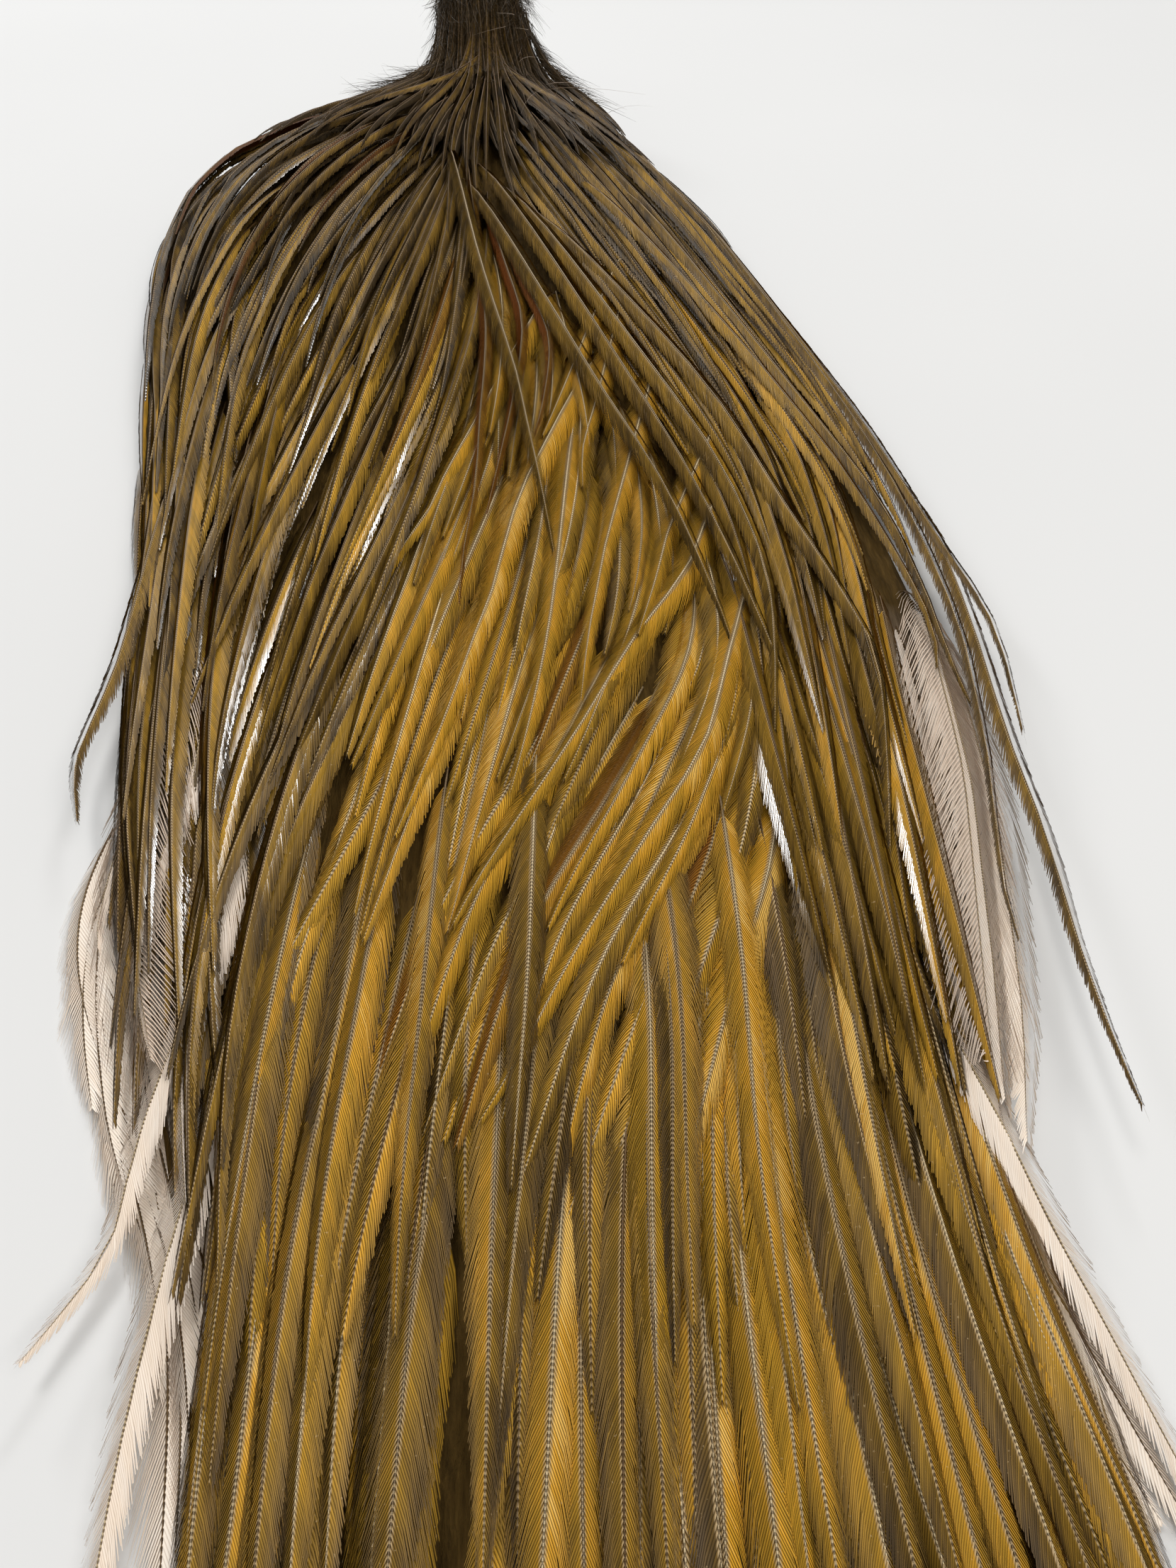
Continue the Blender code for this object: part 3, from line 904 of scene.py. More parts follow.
@dataclass
class Tract:
    """Feathers that overlap like shingles along a tract's strokes."""

    name: str
    strokes: tuple
    count: int
    first: float
    last: float
    crowding: float
    length: tuple
    half_width: tuple
    lift: float = -1.0
    curl: float = 1.05
    gap: float = 0.42
    segments: int = 2
    tone: tuple = (0.35, 0.65)
    grey: tuple = (0.0, 0.25)
    red_share: float = 0.04
    quill: tuple = (0.0, 0.15)
    shine: tuple = (0.0, 0.6)
    slant: float = 3.0
    split: float = 0.06
    spread: float = 2.2
    wander: float = 1.0
    root_depth: float = 5.0
    root_dive: float = 0.16
    rise: float = 3.0
    level_at: float = 0.62
    settle: float = 1.1
    settle_at: float = 0.72
    every: int = 3
    raised: float = 1.5
    longer: float = 1.12
    calmer: float = 0.6
    sparser: float = 1.3
    # Painted shade: how much darker the feathers that lie under their neighbours are
    under_shade: float = 0.06
    scatter: float = 0.012
    uneven_length: float = 0.06
    uneven_width: float = 0.12
    uneven_height: float = 0.3
    rim: float = 0.15
    russet: float = 0.7
    head: tuple = (80.0, 170.0)
    samples: int = 20
    bare: float = 0.22
    loose: float = 0.14
    taper: float = 0.5
    fringe: float = 0.5
    glossy: Side = Side.LEFT
    roll: float = 7.0
    wet_roll: float = 3.0
    lowest: float = 1.1
    slot: Slot = Slot.HACKLE

    def feathers(self, relief: Relief, rng: np.random.Generator) -> Iterator[Feather]:
        """Lay out the tract's feathers.

        Args:
            relief: The mass that they lie on.
            rng: Source of their small differences.

        Yields:
            Each feather, from the head's end to the butt's.
        """
        curves = [Stroke(points) for points in self.strokes]
        for number in range(self.count):
            share = ((number + 0.5) / self.count) ** self.crowding
            start = self.first + share * (self.last - self.first)
            place = (0.5 + number * EVEN_TURN) % 1.0 + self.scatter * rng.standard_normal()
            on_top = number % self.every == 0
            yield self.feather(curves, min(max(place, 0.0), 1.0), start, on_top, relief, rng)

    def feather(self, curves: list[Stroke], place: float, start: float, on_top: bool, relief: Relief,
                rng: np.random.Generator) -> Feather:
        """One feather of the tract.

        Args:
            curves: The tract's strokes.
            place: How far across the tract it grows, from 0 to 1.
            start: How far along the strokes its root is, from 0 to 1.
            on_top: Whether it lies over its neighbours.
            relief: The mass that it lies on.
            rng: Source of its small differences.

        Returns:
            The feather.
        """
        index = min(int(place * (len(curves) - 1)), len(curves) - 2)
        u = place * (len(curves) - 1) - index
        near, far = curves[index], curves[index + 1]
        length = self.length[0] + start * (self.length[1] - self.length[0])
        length *= (self.longer if on_top else 1.0) * (1.0 + self.uneven_length * rng.standard_normal())
        mean = (1 - u) * near.length + u * far.length
        start = min(start, 1.0 - length / mean) if length < mean else 0.0
        t = np.linspace(0.0, 1.0, self.samples)
        shares = start + t * length / mean
        flat = (1 - u) * near.at(shares * near.length) + u * far.at(shares * far.length)
        flat = self.strayed(flat, t, place, length, self.calmer if on_top else 1.0, rng)
        height = relief.height(flat[:, 0], flat[:, 1]) + self.lift + self.profile(t, rng)
        height += self.raised if on_top else 0.0
        half = self.half_width[0] + start * (self.half_width[1] - self.half_width[0])
        red = self.russet if rng.random() < self.red_share else 0.0
        shine = 0.0 if red else rng.uniform(*self.shine)
        wet = shine > WET
        shaded = HEAD_SHADE * float(np.interp(flat[0, 1], self.head, (0.0, 1.0)))
        return Feather(
            path=np.column_stack([flat, np.maximum(height, self.lowest)]),
            half_width=half * (1.0 + self.uneven_width * rng.standard_normal()),
            curl=self.curl * (1.0 + self.uneven_width * rng.standard_normal()) * (WET_CURL if wet else 1.0),
            gap=self.gap * (1.0 if on_top else self.sparser),
            # Feathers under their neighbours get painted shade
            tone=rng.uniform(*self.tone) - (0.0 if on_top else self.under_shade) - shaded,
            grey=rng.uniform(*self.grey),
            quill=rng.uniform(*self.quill),
            split=self.split * rng.standard_normal(),
            roll=self.roll * rng.standard_normal() + (self.glossy.value * self.wet_roll if wet else 0.0),
            red=red, shine=shine, glossy=self.glossy, segments=self.segments, slant=self.slant,
            fringe=self.fringe, bare=self.bare, loose=self.loose, taper=self.taper)

    def strayed(self, flat: np.ndarray, t: np.ndarray, place: float, length: float, calm: float,
                rng: np.random.Generator) -> np.ndarray:
        """A feather's line bent a little to one side; at the tract's rims it strays outward.

        Args:
            flat: Points of the line, seen from above.
            t: Their shares of the feather's length.
            place: How far across the tract the feather grows.
            length: The feather's length.
            calm: How much it strays, 1 for an ordinary feather.
            rng: Source of the small differences.

        Returns:
            The points of the bent line.
        """
        ahead = np.gradient(flat, axis=0)
        ahead /= np.linalg.norm(ahead, axis=1, keepdims=True)
        side = np.stack([ahead[:, 1], -ahead[:, 0]], axis=-1)
        swing = math.tan(math.radians(calm * self.spread * rng.standard_normal()))
        if place < self.rim or place > 1.0 - self.rim:
            swing = abs(swing) if place > 0.5 else -abs(swing)
        bow = calm * self.wander * rng.standard_normal() * np.sin(np.pi * t)
        return flat + side * (swing * length * t + bow)[:, None]

    def profile(self, t: np.ndarray, rng: np.random.Generator) -> np.ndarray:
        """Height of a feather over the mass: its root dives under, its middle rises, its tip settles.

        Args:
            t: Shares of its length.
            rng: Source of its small difference.

        Returns:
            Heights in millimetres.
        """
        heights = -self.root_depth * np.exp(-t / self.root_dive) + self.rise * (t - self.level_at)
        heights -= self.settle * np.clip((t - self.settle_at) / (1.0 - self.settle_at), 0.0, 1.0) ** 2
        return heights + self.uneven_height * rng.standard_normal()


@dataclass(frozen=True)
class Strand:
    """One hackle that stands out on its own, by the points that it passes through."""

    points: tuple
    half_width: float = 2.3
    tone: float = 0.45
    red: float = 0.0
    grey: float = 0.0
    quill: float = 0.2
    curl: float = 1.15
    lift: float = 1.0
    split: float = 0.04
    gap: float = 0.42
    taper: float = 0.6
    slant: float = 2.4
    shine: float = 0.2
    loose: float = 0.2
    fringe: float = 0.5
    blade: float = 0.66
    tip_height: float | None = None


@dataclass
class Strands:
    """Hackles that stand out on their own, placed one by one."""

    name: str
    strands: tuple
    root_run: float = 26.0
    samples: int = 26
    root_depth: float = 7.0
    root_dive: float = 0.09
    tip_share: float = 0.15
    rim: float = 0.92
    rim_width: float = 0.25
    lowest: float = 1.0
    bare: float = 0.05
    broad: float = 3.0
    slot: Slot = Slot.HACKLE

    def feathers(self, relief: Relief, rng: np.random.Generator) -> Iterator[Feather]:
        """Each strand as a feather whose root dives under its neighbours.

        Args:
            relief: The mass that they lie on.
            rng: Not used; taken as a tract takes it, since the strands' places need no scatter.

        Yields:
            Each feather.
        """
        shared = ("half_width", "curl", "gap", "tone", "red", "grey", "quill", "split", "loose", "fringe",
                  "blade", "slant", "shine", "taper")
        for strand in self.strands:
            yield Feather(path=self.path(strand, relief), bare=self.bare,
                          segments=3 if strand.half_width > self.broad else 2,
                          **{key: getattr(strand, key) for key in shared})

    def path(self, strand: Strand, relief: Relief) -> np.ndarray:
        """Centreline of a strand.

        Args:
            strand: The strand.
            relief: The mass that it lies on.

        Returns:
            Its points, from the root to the tip.
        """
        points = np.asarray(strand.points, dtype=float)
        back = points[0] - points[1]
        back *= self.root_run / np.linalg.norm(back)
        curve = Stroke(np.vstack([points[0] + back, points]))
        t = np.linspace(0.0, 1.0, self.samples)
        flat = curve.at(t * curve.length)
        rest = relief.height(flat[:, 0], flat[:, 1])
        if strand.tip_height is not None:
            out = np.abs(relief.across(flat[:, 0], flat[:, 1]))
            rest = rest + (strand.tip_height - rest) * np.clip((out - self.rim) / self.rim_width, 0.0, 1.0)
        rise = strand.lift * np.minimum(1.0, (1.0 - t) / self.tip_share) ** 0.5
        rise = rise - self.root_depth * np.exp(-t / self.root_dive)
        return np.column_stack([flat, np.maximum(rest + rise, self.lowest)])


@dataclass
class Plumage:
    """Turns tracts and strands into pieces of one dress."""

    relief: Relief
    finishes: Sequence[bpy.types.Material]

    def build(self, group: Tract | Strands) -> bpy.types.Object:
        """Weave the feathers of a tract or of a few strands, and join them.

        Args:
            group: The tract or the strands.

        Returns:
            The piece.
        """
        rng = seeded(group.name)
        weaver = Weaver(self.relief, rng)
        bundle = Bundle(group.name)
        for feather in group.feathers(self.relief, rng):
            bundle.feathers.append(weaver.patches(feather))
        return bundle.build(self.finishes)


@dataclass
class DownMat:
    """Matted down and feather roots between the hide and the hackles: a closed, rippled mound."""

    relief: Relief
    cover: float = 5.0
    inset: float = 4.0
    from_butt: float = 9.0
    from_head: float = 1.5
    cap_at: float = 192.0
    cap_length: float = 8.5
    columns: int = 40
    rows: int = 120
    ripple: float = 0.5
    least: float = 0.4
    neck: tuple = (160.0, 170.0, 179.0, 188.0, 194.0, 202.0)
    underside: tuple = (1.7, 2.4, 6.3, 15.0, 23.0, 28.0)
    name: str = "down_mat"

    def build(self) -> bpy.types.Object:
        """Make the mound, with a rounded end at the head.

        Returns:
            The piece.
        """
        rng = np.random.default_rng(SEED)
        y = np.linspace(self.relief.y[0] + self.from_butt, self.relief.y[-1] - self.from_head, self.rows)
        u = np.linspace(-1.0, 1.0, self.columns)
        left, right = self.relief.sides(y)
        inset = self.inset * np.interp(y, (130.0, 172.0), (1.0, 0.1))
        cap = np.sqrt(1.0 - np.clip((y - self.cap_at) / self.cap_length, 0.0, 1.0) ** 2) * 0.96 + 0.04
        middle, half = 0.5 * (left + right), (0.5 * (right - left) - inset) * cap
        x = middle[:, None] + half[:, None] * u[None, :]
        yy = np.repeat(y[:, None], self.columns, axis=1)
        top = self.relief.height(x, yy) - self.cover * np.interp(yy, (150.0, 180.0), (1.0, 0.35))
        top += self.ripple * rng.standard_normal(top.shape)
        rim = 1.0 - np.abs(u[None, :]) ** 8
        floor = self.base(y)[:, None]
        top = np.maximum(floor + self.least + (top - floor - self.least) * rim, floor + self.least)
        core = 0.5 * (top[:, self.columns // 2][:, None] + floor)
        top, floor = core + (top - core) * cap[:, None], core + (floor - core) * cap[:, None]
        points = np.vstack([layers(x.shape, x, yy, top), layers(x.shape, x, yy, floor)])
        return make_object(self.name, points, self.faces(), [DownFinish().material()], sheet_chart(points))

    def base(self, y: np.ndarray) -> np.ndarray:
        """Height of the mat's underside; it rises with the neck at the head end."""
        return np.interp(y, self.neck, self.underside)

    def faces(self) -> np.ndarray:
        """Faces of the top, the underside and the rim between them.

        Returns:
            Vertex numbers, four a face.
        """
        count = self.rows * self.columns
        grid = np.arange(count).reshape(self.rows, self.columns)
        top = np.stack([grid[:-1, :-1], grid[:-1, 1:], grid[1:, 1:], grid[1:, :-1]], axis=-1).reshape(-1, 4)
        ring = np.concatenate([grid[0, :], grid[1:, -1], grid[-1, -2::-1], grid[-2:0:-1, 0]])
        after = np.roll(ring, -1)
        rim = np.stack([after, ring, ring + count, after + count], axis=-1)
        return np.vstack([top, top[:, ::-1] + count, rim])


@dataclass
class Hide:
    """The dried hide under the feathers: a thin sheet with a wavy cut edge that curls a little."""

    outline: tuple = (
        (-26, -124), (-34, -96), (-40, -60), (-45, -15), (-50, 35), (-54, 80), (-50, 118),
        (-32, 144), (-13, 158), (10, 158), (22, 142), (30, 108), (36, 70), (41, 25), (43, -20),
        (38, -62), (31, -98), (25, -122), (2, -130),
    )
    middle: tuple = (0.0, 10.0)
    waves: tuple = ((9, 0.7), (17, 0.5), (41, 0.25))
    thickness: float = 1.4
    curl: float = 0.5
    curl_at: float = 0.93
    rings: int = 14
    around: int = 160
    name: str = "hide"

    def build(self) -> bpy.types.Object:
        """Make the sheet as rings round its middle, its two sides joined at the edge.

        Returns:
            The piece.
        """
        rng = np.random.default_rng(SEED)
        edge = Stroke((*self.outline, self.outline[0]))
        rim = edge.at(np.linspace(0.0, edge.length, self.around, endpoint=False))
        angle = np.linspace(0.0, 2.0 * math.pi, self.around, endpoint=False)
        wave = sum(size * np.sin(lobes * angle + rng.uniform(0, 6.28)) for lobes, size in self.waves)
        out = rim - self.middle
        out /= np.linalg.norm(out, axis=1, keepdims=True)
        rim = rim + out * wave[:, None]
        share = np.linspace(0.02, 1.0, self.rings) ** 0.8
        flat = self.middle + share[:, None, None] * (rim - self.middle)[None, :, :]
        thin = self.thickness * (0.5 + 0.5 * (1.0 - share ** 6))[:, None] * np.ones(self.around)
        lip = np.clip(share - self.curl_at, 0.0, 1.0)[:, None] / (1.0 - self.curl_at)
        under = self.curl * lip * (0.5 + 0.5 * np.sin(11 * angle))
        shape = under.shape
        points = np.vstack([layers(shape, flat[..., 0], flat[..., 1], under + thin),
                            layers(shape, flat[..., 0], flat[..., 1], under)])
        return make_object(self.name, points, self.faces(), [HideFinish().material()], sheet_chart(points))

    def faces(self) -> np.ndarray:
        """Faces of both sides, the edge between them and the small middles.

        Returns:
            Vertex numbers, four a face.
        """
        count = self.rings * self.around
        grid = np.arange(count).reshape(self.rings, self.around)
        after = np.roll(grid, -1, axis=1)
        over = np.stack([grid[:-1], after[:-1], after[1:], grid[1:]], axis=-1).reshape(-1, 4)
        rim = np.stack([grid[-1], after[-1], after[-1] + count, grid[-1] + count], axis=-1)
        inner, last = grid[0], self.around - 1
        lid = np.array([(inner[i], inner[last - i], inner[last - 1 - i], inner[i + 1])
                        for i in range(self.around // 2 - 1)])
        return np.vstack([over, over[:, ::-1] + count, rim, lid, lid[:, ::-1] + count])


@dataclass
class Hairs:
    """Fine hairs and bristly barbs that stand out of the crown."""

    name: str
    relief: Relief
    finish: bpy.types.Material
    strokes: tuple
    count: int
    length: tuple = (5.0, 11.0)
    width: float = 0.13
    stand: tuple = (0.15, 0.6)
    sway: float = 0.35
    tone: tuple = (-0.20, 0.02)
    steps: int = 5
    sink: float = 0.8

    def build(self) -> bpy.types.Object:
        """Grow each hair as a narrow tapered ribbon.

        Returns:
            The piece.
        """
        rng = seeded(self.name)
        bundle = Bundle(self.name)
        for root, ahead, up in self.places(rng):
            bundle.feathers.append([self.ribbon(root, ahead, up, rng)])
        return bundle.build([self.finish])

    def places(self, rng: np.random.Generator) -> Iterator[tuple[np.ndarray, np.ndarray, np.ndarray]]:
        """Where each hair grows.

        Args:
            rng: Source of the scatter.

        Yields:
            Its root, the direction in which it runs and the upward direction there.
        """
        curves = [Stroke(points) for points in self.strokes]
        for _ in range(self.count):
            place = rng.random() * (len(curves) - 1)
            index = min(int(place), len(curves) - 2)
            u, share = place - index, rng.random() ** 1.3 * 0.7
            near, far = curves[index], curves[index + 1]
            here, next_to = ((1 - u) * near.at([d * near.length]) + u * far.at([d * far.length])
                             for d in (share, share + 0.03))
            flat = here[0]
            up = self.relief.normal(flat[:1], flat[1:])[0]
            root = np.append(flat, self.relief.height(flat[:1], flat[1:]) - self.sink)
            yield root, np.append(next_to[0] - flat, 0.0), up

    def ribbon(self, root: np.ndarray, ahead: np.ndarray, up: np.ndarray,
               rng: np.random.Generator) -> Patch:
        """One hair.

        Args:
            root: Where it grows.
            ahead: The direction in which it runs.
            up: The upward direction at its root.
            rng: Source of its small differences.

        Returns:
            Its mesh arrays.
        """
        up = up / np.linalg.norm(up)
        ahead = ahead - up * float(ahead @ up)
        ahead /= np.linalg.norm(ahead)
        side = np.cross(up, ahead)
        lean = rng.uniform(*self.stand)
        drift = self.sway * rng.standard_normal()
        length = rng.uniform(*self.length)
        t = np.linspace(0.0, 1.0, self.steps)[:, None]
        line = root + length * (
            ahead * t + up * lean * t * (1.0 - 0.35 * t) + side * drift * t ** 1.6)
        spin = rng.uniform(0.0, math.pi)
        broad = (side * math.cos(spin) + up * math.sin(spin)) * self.width * (1.0 - 0.85 * t)
        points = np.stack([line + 0.5 * broad, line - 0.5 * broad], axis=1).reshape(-1, 3)
        points[:, 2] = np.maximum(points[:, 2], LOWEST)
        shape = (self.steps, 2)
        place = layers(shape, t, 0.5, np.array([1.0, 0.0]), 0.2)
        dye = layers(shape, rng.uniform(*self.tone), 0.0, 0.1, rng.random())
        cell = layers(shape, np.array([0.2, 0.8]), t)
        base = 2 * np.arange(self.steps - 1)
        quads = np.stack([base, base + 1, base + 3, base + 2], axis=-1)
        return Patch(points, quads, place, dye, cell, np.full(len(quads), Dress.BARBS))


@dataclass
class NeckHairs(Hairs):
    """Short dark hairs that cover the cut end of the neck and its underside."""

    end: float = 198.0
    foot: float = 163.0
    ragged: tuple = (-2.5, 2.0)
    end_width: float = 0.8
    every: int = 4

    def places(self, rng: np.random.Generator) -> Iterator[tuple[np.ndarray, np.ndarray, np.ndarray]]:
        """Where each hair grows: most on the underside, the others on the cut end.

        Args:
            rng: Source of the scatter.

        Yields:
            Its root, the direction in which it runs and the outward direction there.
        """
        mat = DownMat(self.relief)
        for number in range(self.count):
            across = rng.uniform(-0.97, 0.97)
            on_end = number % self.every == 0
            y = self.end + rng.uniform(*self.ragged) if on_end else rng.uniform(self.foot, self.end)
            left, right = self.relief.sides(y)
            x = 0.5 * (left + right) + across * 0.5 * (right - left) * (self.end_width if on_end else 1.0)
            low, high = mat.base(np.array([y - 1.0, y + 1.0]))
            if on_end:
                top = float(self.relief.height(np.array([x]), np.array([y]))[0])
                root = np.array([x, y, rng.uniform(0.5 * (low + high), top - 1.0)])
                yield root, np.array([0.12 * x, 0.3, -1.0]), np.array([0.0, 1.0, 0.3])
            else:
                root = np.array([x, y, 0.5 * (low + high) + 0.2])
                yield root, np.array([0.0, -2.0, low - high]), np.array([0.0, high - low, -2.0])


@dataclass(frozen=True)
class Lamp:
    """A square soft light, in metres and watts."""

    name: str
    place: tuple
    aim: tuple
    size: float
    power: float
    tint: tuple

    def hang(self) -> None:
        """Make the light and turn it to its aim."""
        data = bpy.data.lights.new(self.name, "AREA")
        data.shape = "SQUARE"
        data.size = self.size
        data.energy = self.power
        data.color = self.tint
        light = bpy.data.objects.new(self.name, data)
        light.location = self.place
        light.rotation_euler = (Vector(self.aim) - Vector(self.place)).to_track_quat("-Z", "Y").to_euler()
        bpy.context.scene.collection.objects.link(light)


@dataclass
class Studio:
    """Floor, light and camera."""

    lens: float = 27.05
    sensor: float = 36.0
    camera_place: tuple = (-5.2, -148.0, 112.0)
    camera_pitch: float = 47.6
    camera_heading: float = 5.2
    floor_size: float = 6.0
    sky: tuple = (1.0, 0.985, 0.955, 1.0)
    sky_strength: float = 0.36
    lamps: tuple = (
        Lamp("window", (-0.60, 1.00, 0.62), (0.0, -0.02, 0.0), 0.30, 6.2, (0.96, 0.98, 1.0)),
        Lamp("lamp", (0.30, 1.05, 0.80), (0.0, -0.02, 0.0), 0.25, 4.0, (0.98, 0.99, 1.0)),
        Lamp("overhead", (-0.20, 0.15, 1.20), (0.0, -0.08, 0.0), 0.30, 4.6, (1.0, 0.99, 0.97)),
        Lamp("front", (0.55, -0.55, 1.1), (0.02, -0.06, 0.0), 0.6, 8.6, (1.0, 0.99, 0.96)),
    )

    def floor(self) -> None:
        """Lay the surface that the cape lies on."""
        sheet = bmesh.new()
        bmesh.ops.create_grid(sheet, x_segments=24, y_segments=24, size=0.5 * self.floor_size)
        mesh = bpy.data.meshes.new("floor")
        sheet.to_mesh(mesh)
        sheet.free()
        floor = bpy.data.objects.new("floor", mesh)
        floor.data.materials.append(FloorFinish().material())
        bpy.context.scene.collection.objects.link(floor)

    def light(self) -> None:
        """Soft daylight from above and behind, with a gentle fill."""
        world = bpy.data.worlds.new("studio")
        world.use_nodes = True
        background = world.node_tree.nodes["Background"]
        background.inputs["Color"].default_value = self.sky
        background.inputs["Strength"].default_value = self.sky_strength
        bpy.context.scene.world = world
        for lamp in self.lamps:
            lamp.hang()

    def camera(self) -> None:
        """The camera at the photograph's viewing angle."""
        data = bpy.data.cameras.new("camera")
        data.lens = self.lens
        data.sensor_width = self.sensor
        data.clip_start = 0.005
        camera = bpy.data.objects.new("camera", data)
        camera.location = [value * MM for value in self.camera_place]
        camera.rotation_euler = Euler((math.radians(90.0 - self.camera_pitch), 0.0,
                                       -math.radians(self.camera_heading)))
        bpy.context.scene.collection.objects.link(camera)
        bpy.context.scene.camera = camera

    def build(self) -> None:
        """Set the stage."""
        self.floor()
        self.light()
        self.camera()
        bpy.context.scene.view_settings.view_transform = "Standard"


# Strokes that the feathers follow, from root to tip, ordered across each tract
LEFT_STROKES = (
    ((-6, 182), (-33, 174), (-54, 160), (-67, 139), (-71, 108), (-69, 74), (-63, 28), (-58, -14), (-56, -44),
     (-50, -74)),
    ((-8, 170), (-32, 150), (-52, 112), (-59, 66), (-57, 20), (-54, -14), (-51, -44), (-47, -78)),
    ((-8, 162), (-22, 134), (-38, 92), (-46, 50), (-48, 17), (-48, -16), (-46, -48), (-42, -86)),
    ((-6, 154), (-10, 124), (-17, 92), (-27, 48), (-33, 14), (-38, -20), (-41, -50), (-40, -76), (-37, -98)),
    ((-4, 148), (-7, 110), (-10, 70), (-15, 30), (-22, -3), (-29, -34), (-34, -62), (-36, -88), (-34, -110)),
    ((-2, 142), (-3, 102), (-4, 66), (-8, 26), (-15, -10), (-23, -42), (-30, -72), (-33, -110)),
)
CENTRE_STROKES = (
    ((-6, 104), (-6, 66), (-10, 20), (-18, -16), (-26, -48), (-33, -80), (-35, -104)),
    ((-2, 100), (0, 50), (-5, 10), (-13, -30), (-21, -62), (-29, -92)),
    ((3, 84), (6, 30), (2, -8), (-5, -38), (-12, -66), (-20, -95)),
    ((12, 60), (16, 10), (14, -24), (5, -50), (-6, -74), (-13, -98)),
    ((20, 20), (24, -18), (22, -42), (12, -62), (0, -82), (-8, -104)),
    ((23, 30), (28, -10), (28, -40), (23, -66), (14, -88), (4, -114)),
)
RIGHT_STROKES = (
    ((1, 148), (2, 114), (8, 76), (16, 40), (22, 8), (25, -20), (26, -48), (26, -90)),
    ((3, 156), (8, 122), (16, 86), (25, 46), (32, 10), (34, -20), (34, -48), (33, -98)),
    ((7, 164), (14, 134), (24, 94), (34, 53), (41, 17), (44, -11), (43, -43), (41, -96)),
    ((14, 170), (30, 118), (43, 66), (51, 22), (51, -10), (47, -44), (41, -92)),
    ((14, 178), (28, 160), (37, 128), (48, 76), (56, 26), (56, -4), (52, -34), (46, -76)),
)
RIGHT_LOWER_STROKES = (
    ((1, 120), (8, 76), (16, 40), (22, 8), (25, -20), (25, -48), (24, -90)),
    ((6, 134), (15, 88), (25, 46), (31, 10), (32, -20), (31, -48), (29, -98)),
    ((11, 146), (23, 95), (33, 53), (37, 17), (37, -11), (35, -43), (32, -96)),
    ((16, 156), (30, 108), (43, 62), (49, 22), (49, -10), (45, -44), (40, -98)),
)
LEFT_EDGE_STROKES = (
    ((-12, 180), (-36, 174), (-56, 161), (-68, 140), (-72, 112), (-70, 74), (-64, 28), (-59, -14),
     (-56, -44), (-51, -84), (-40, -112), (-37, -150)),
    ((-8, 174), (-32, 164), (-50, 150), (-60, 130), (-64, 104), (-63, 72), (-59, 26), (-55, -14),
     (-52, -44), (-47, -84), (-37, -112), (-34, -150)),
)
RIGHT_EDGE_STROKES = (
    ((8, 182), (20, 166), (30, 146), (37, 120), (42, 95), (46, 62), (51, 34), (54, 4), (55, -25),
     (51, -56), (45, -85), (39, -112), (34, -150)),
    ((12, 184), (25, 170), (33, 154), (40, 126), (46, 95), (51, 64), (55, 35), (59, 5), (61, -25),
     (56, -56), (50, -85), (44, -112), (39, -150)),
)
LEFT_FRINGE_STROKES = (
    ((-46, -30), (-49, -58), (-44, -86), (-36, -112), (-33, -146)),
    ((-54, -34), (-55, -60), (-49, -86), (-39, -112), (-36, -146)),
)
RIGHT_FRINGE_STROKES = (
    ((49, -18), (50, -34), (47, -54), (42, -78), (36, -102), (37, -122), (40, -146)),
    ((54, -20), (55, -36), (51, -56), (46, -80), (40, -102), (41, -122), (44, -146)),
)
BUTT_STROKES = (
    ((-29, -36), (-35, -76), (-37, -106), (-39, -150)),
    ((-18, -36), (-24, -80), (-28, -110), (-30, -152)),
    ((-6, -36), (-10, -80), (-14, -112), (-18, -156)),
    ((6, -36), (5, -80), (2, -112), (-2, -158)),
    ((16, -36), (16, -80), (12, -112), (9, -158)),
    ((26, -36), (23, -76), (21, -110), (23, -156)),
    ((38, -36), (34, -80), (33, -112), (36, -154)),
    ((41, -50), (38, -80), (39, -108), (43, -148)),
)
CROWN_STROKES = (
    ((-11, 201), (-13, 190), (-17, 180), (-30, 172), (-50, 158), (-58, 142)),
    ((-9, 201), (-11, 186), (-16, 168), (-26, 148), (-36, 128)),
    ((-6, 201), (-7, 182), (-9, 158), (-14, 130), (-18, 102)),
    ((-2, 201), (-2, 180), (-3, 152), (-5, 122), (-6, 92)),
    ((2, 201), (2, 180), (3, 152), (4, 122), (6, 92)),
    ((6, 201), (7, 184), (11, 162), (19, 136), (26, 110)),
    ((10, 201), (11, 190), (16, 178), (26, 160), (37, 134)),
)
FUZZ_STROKES = (
    ((-12, 200), (-13, 190), (-17, 180), (-28, 172), (-44, 162)),
    ((-8, 200), (-9, 188), (-11, 174), (-16, 156)),
    ((0, 200), (0, 184), (0, 166), (-1, 148)),
    ((7, 200), (8, 188), (10, 174), (15, 156)),
    ((11, 200), (12, 190), (16, 180), (24, 168), (33, 150)),
)
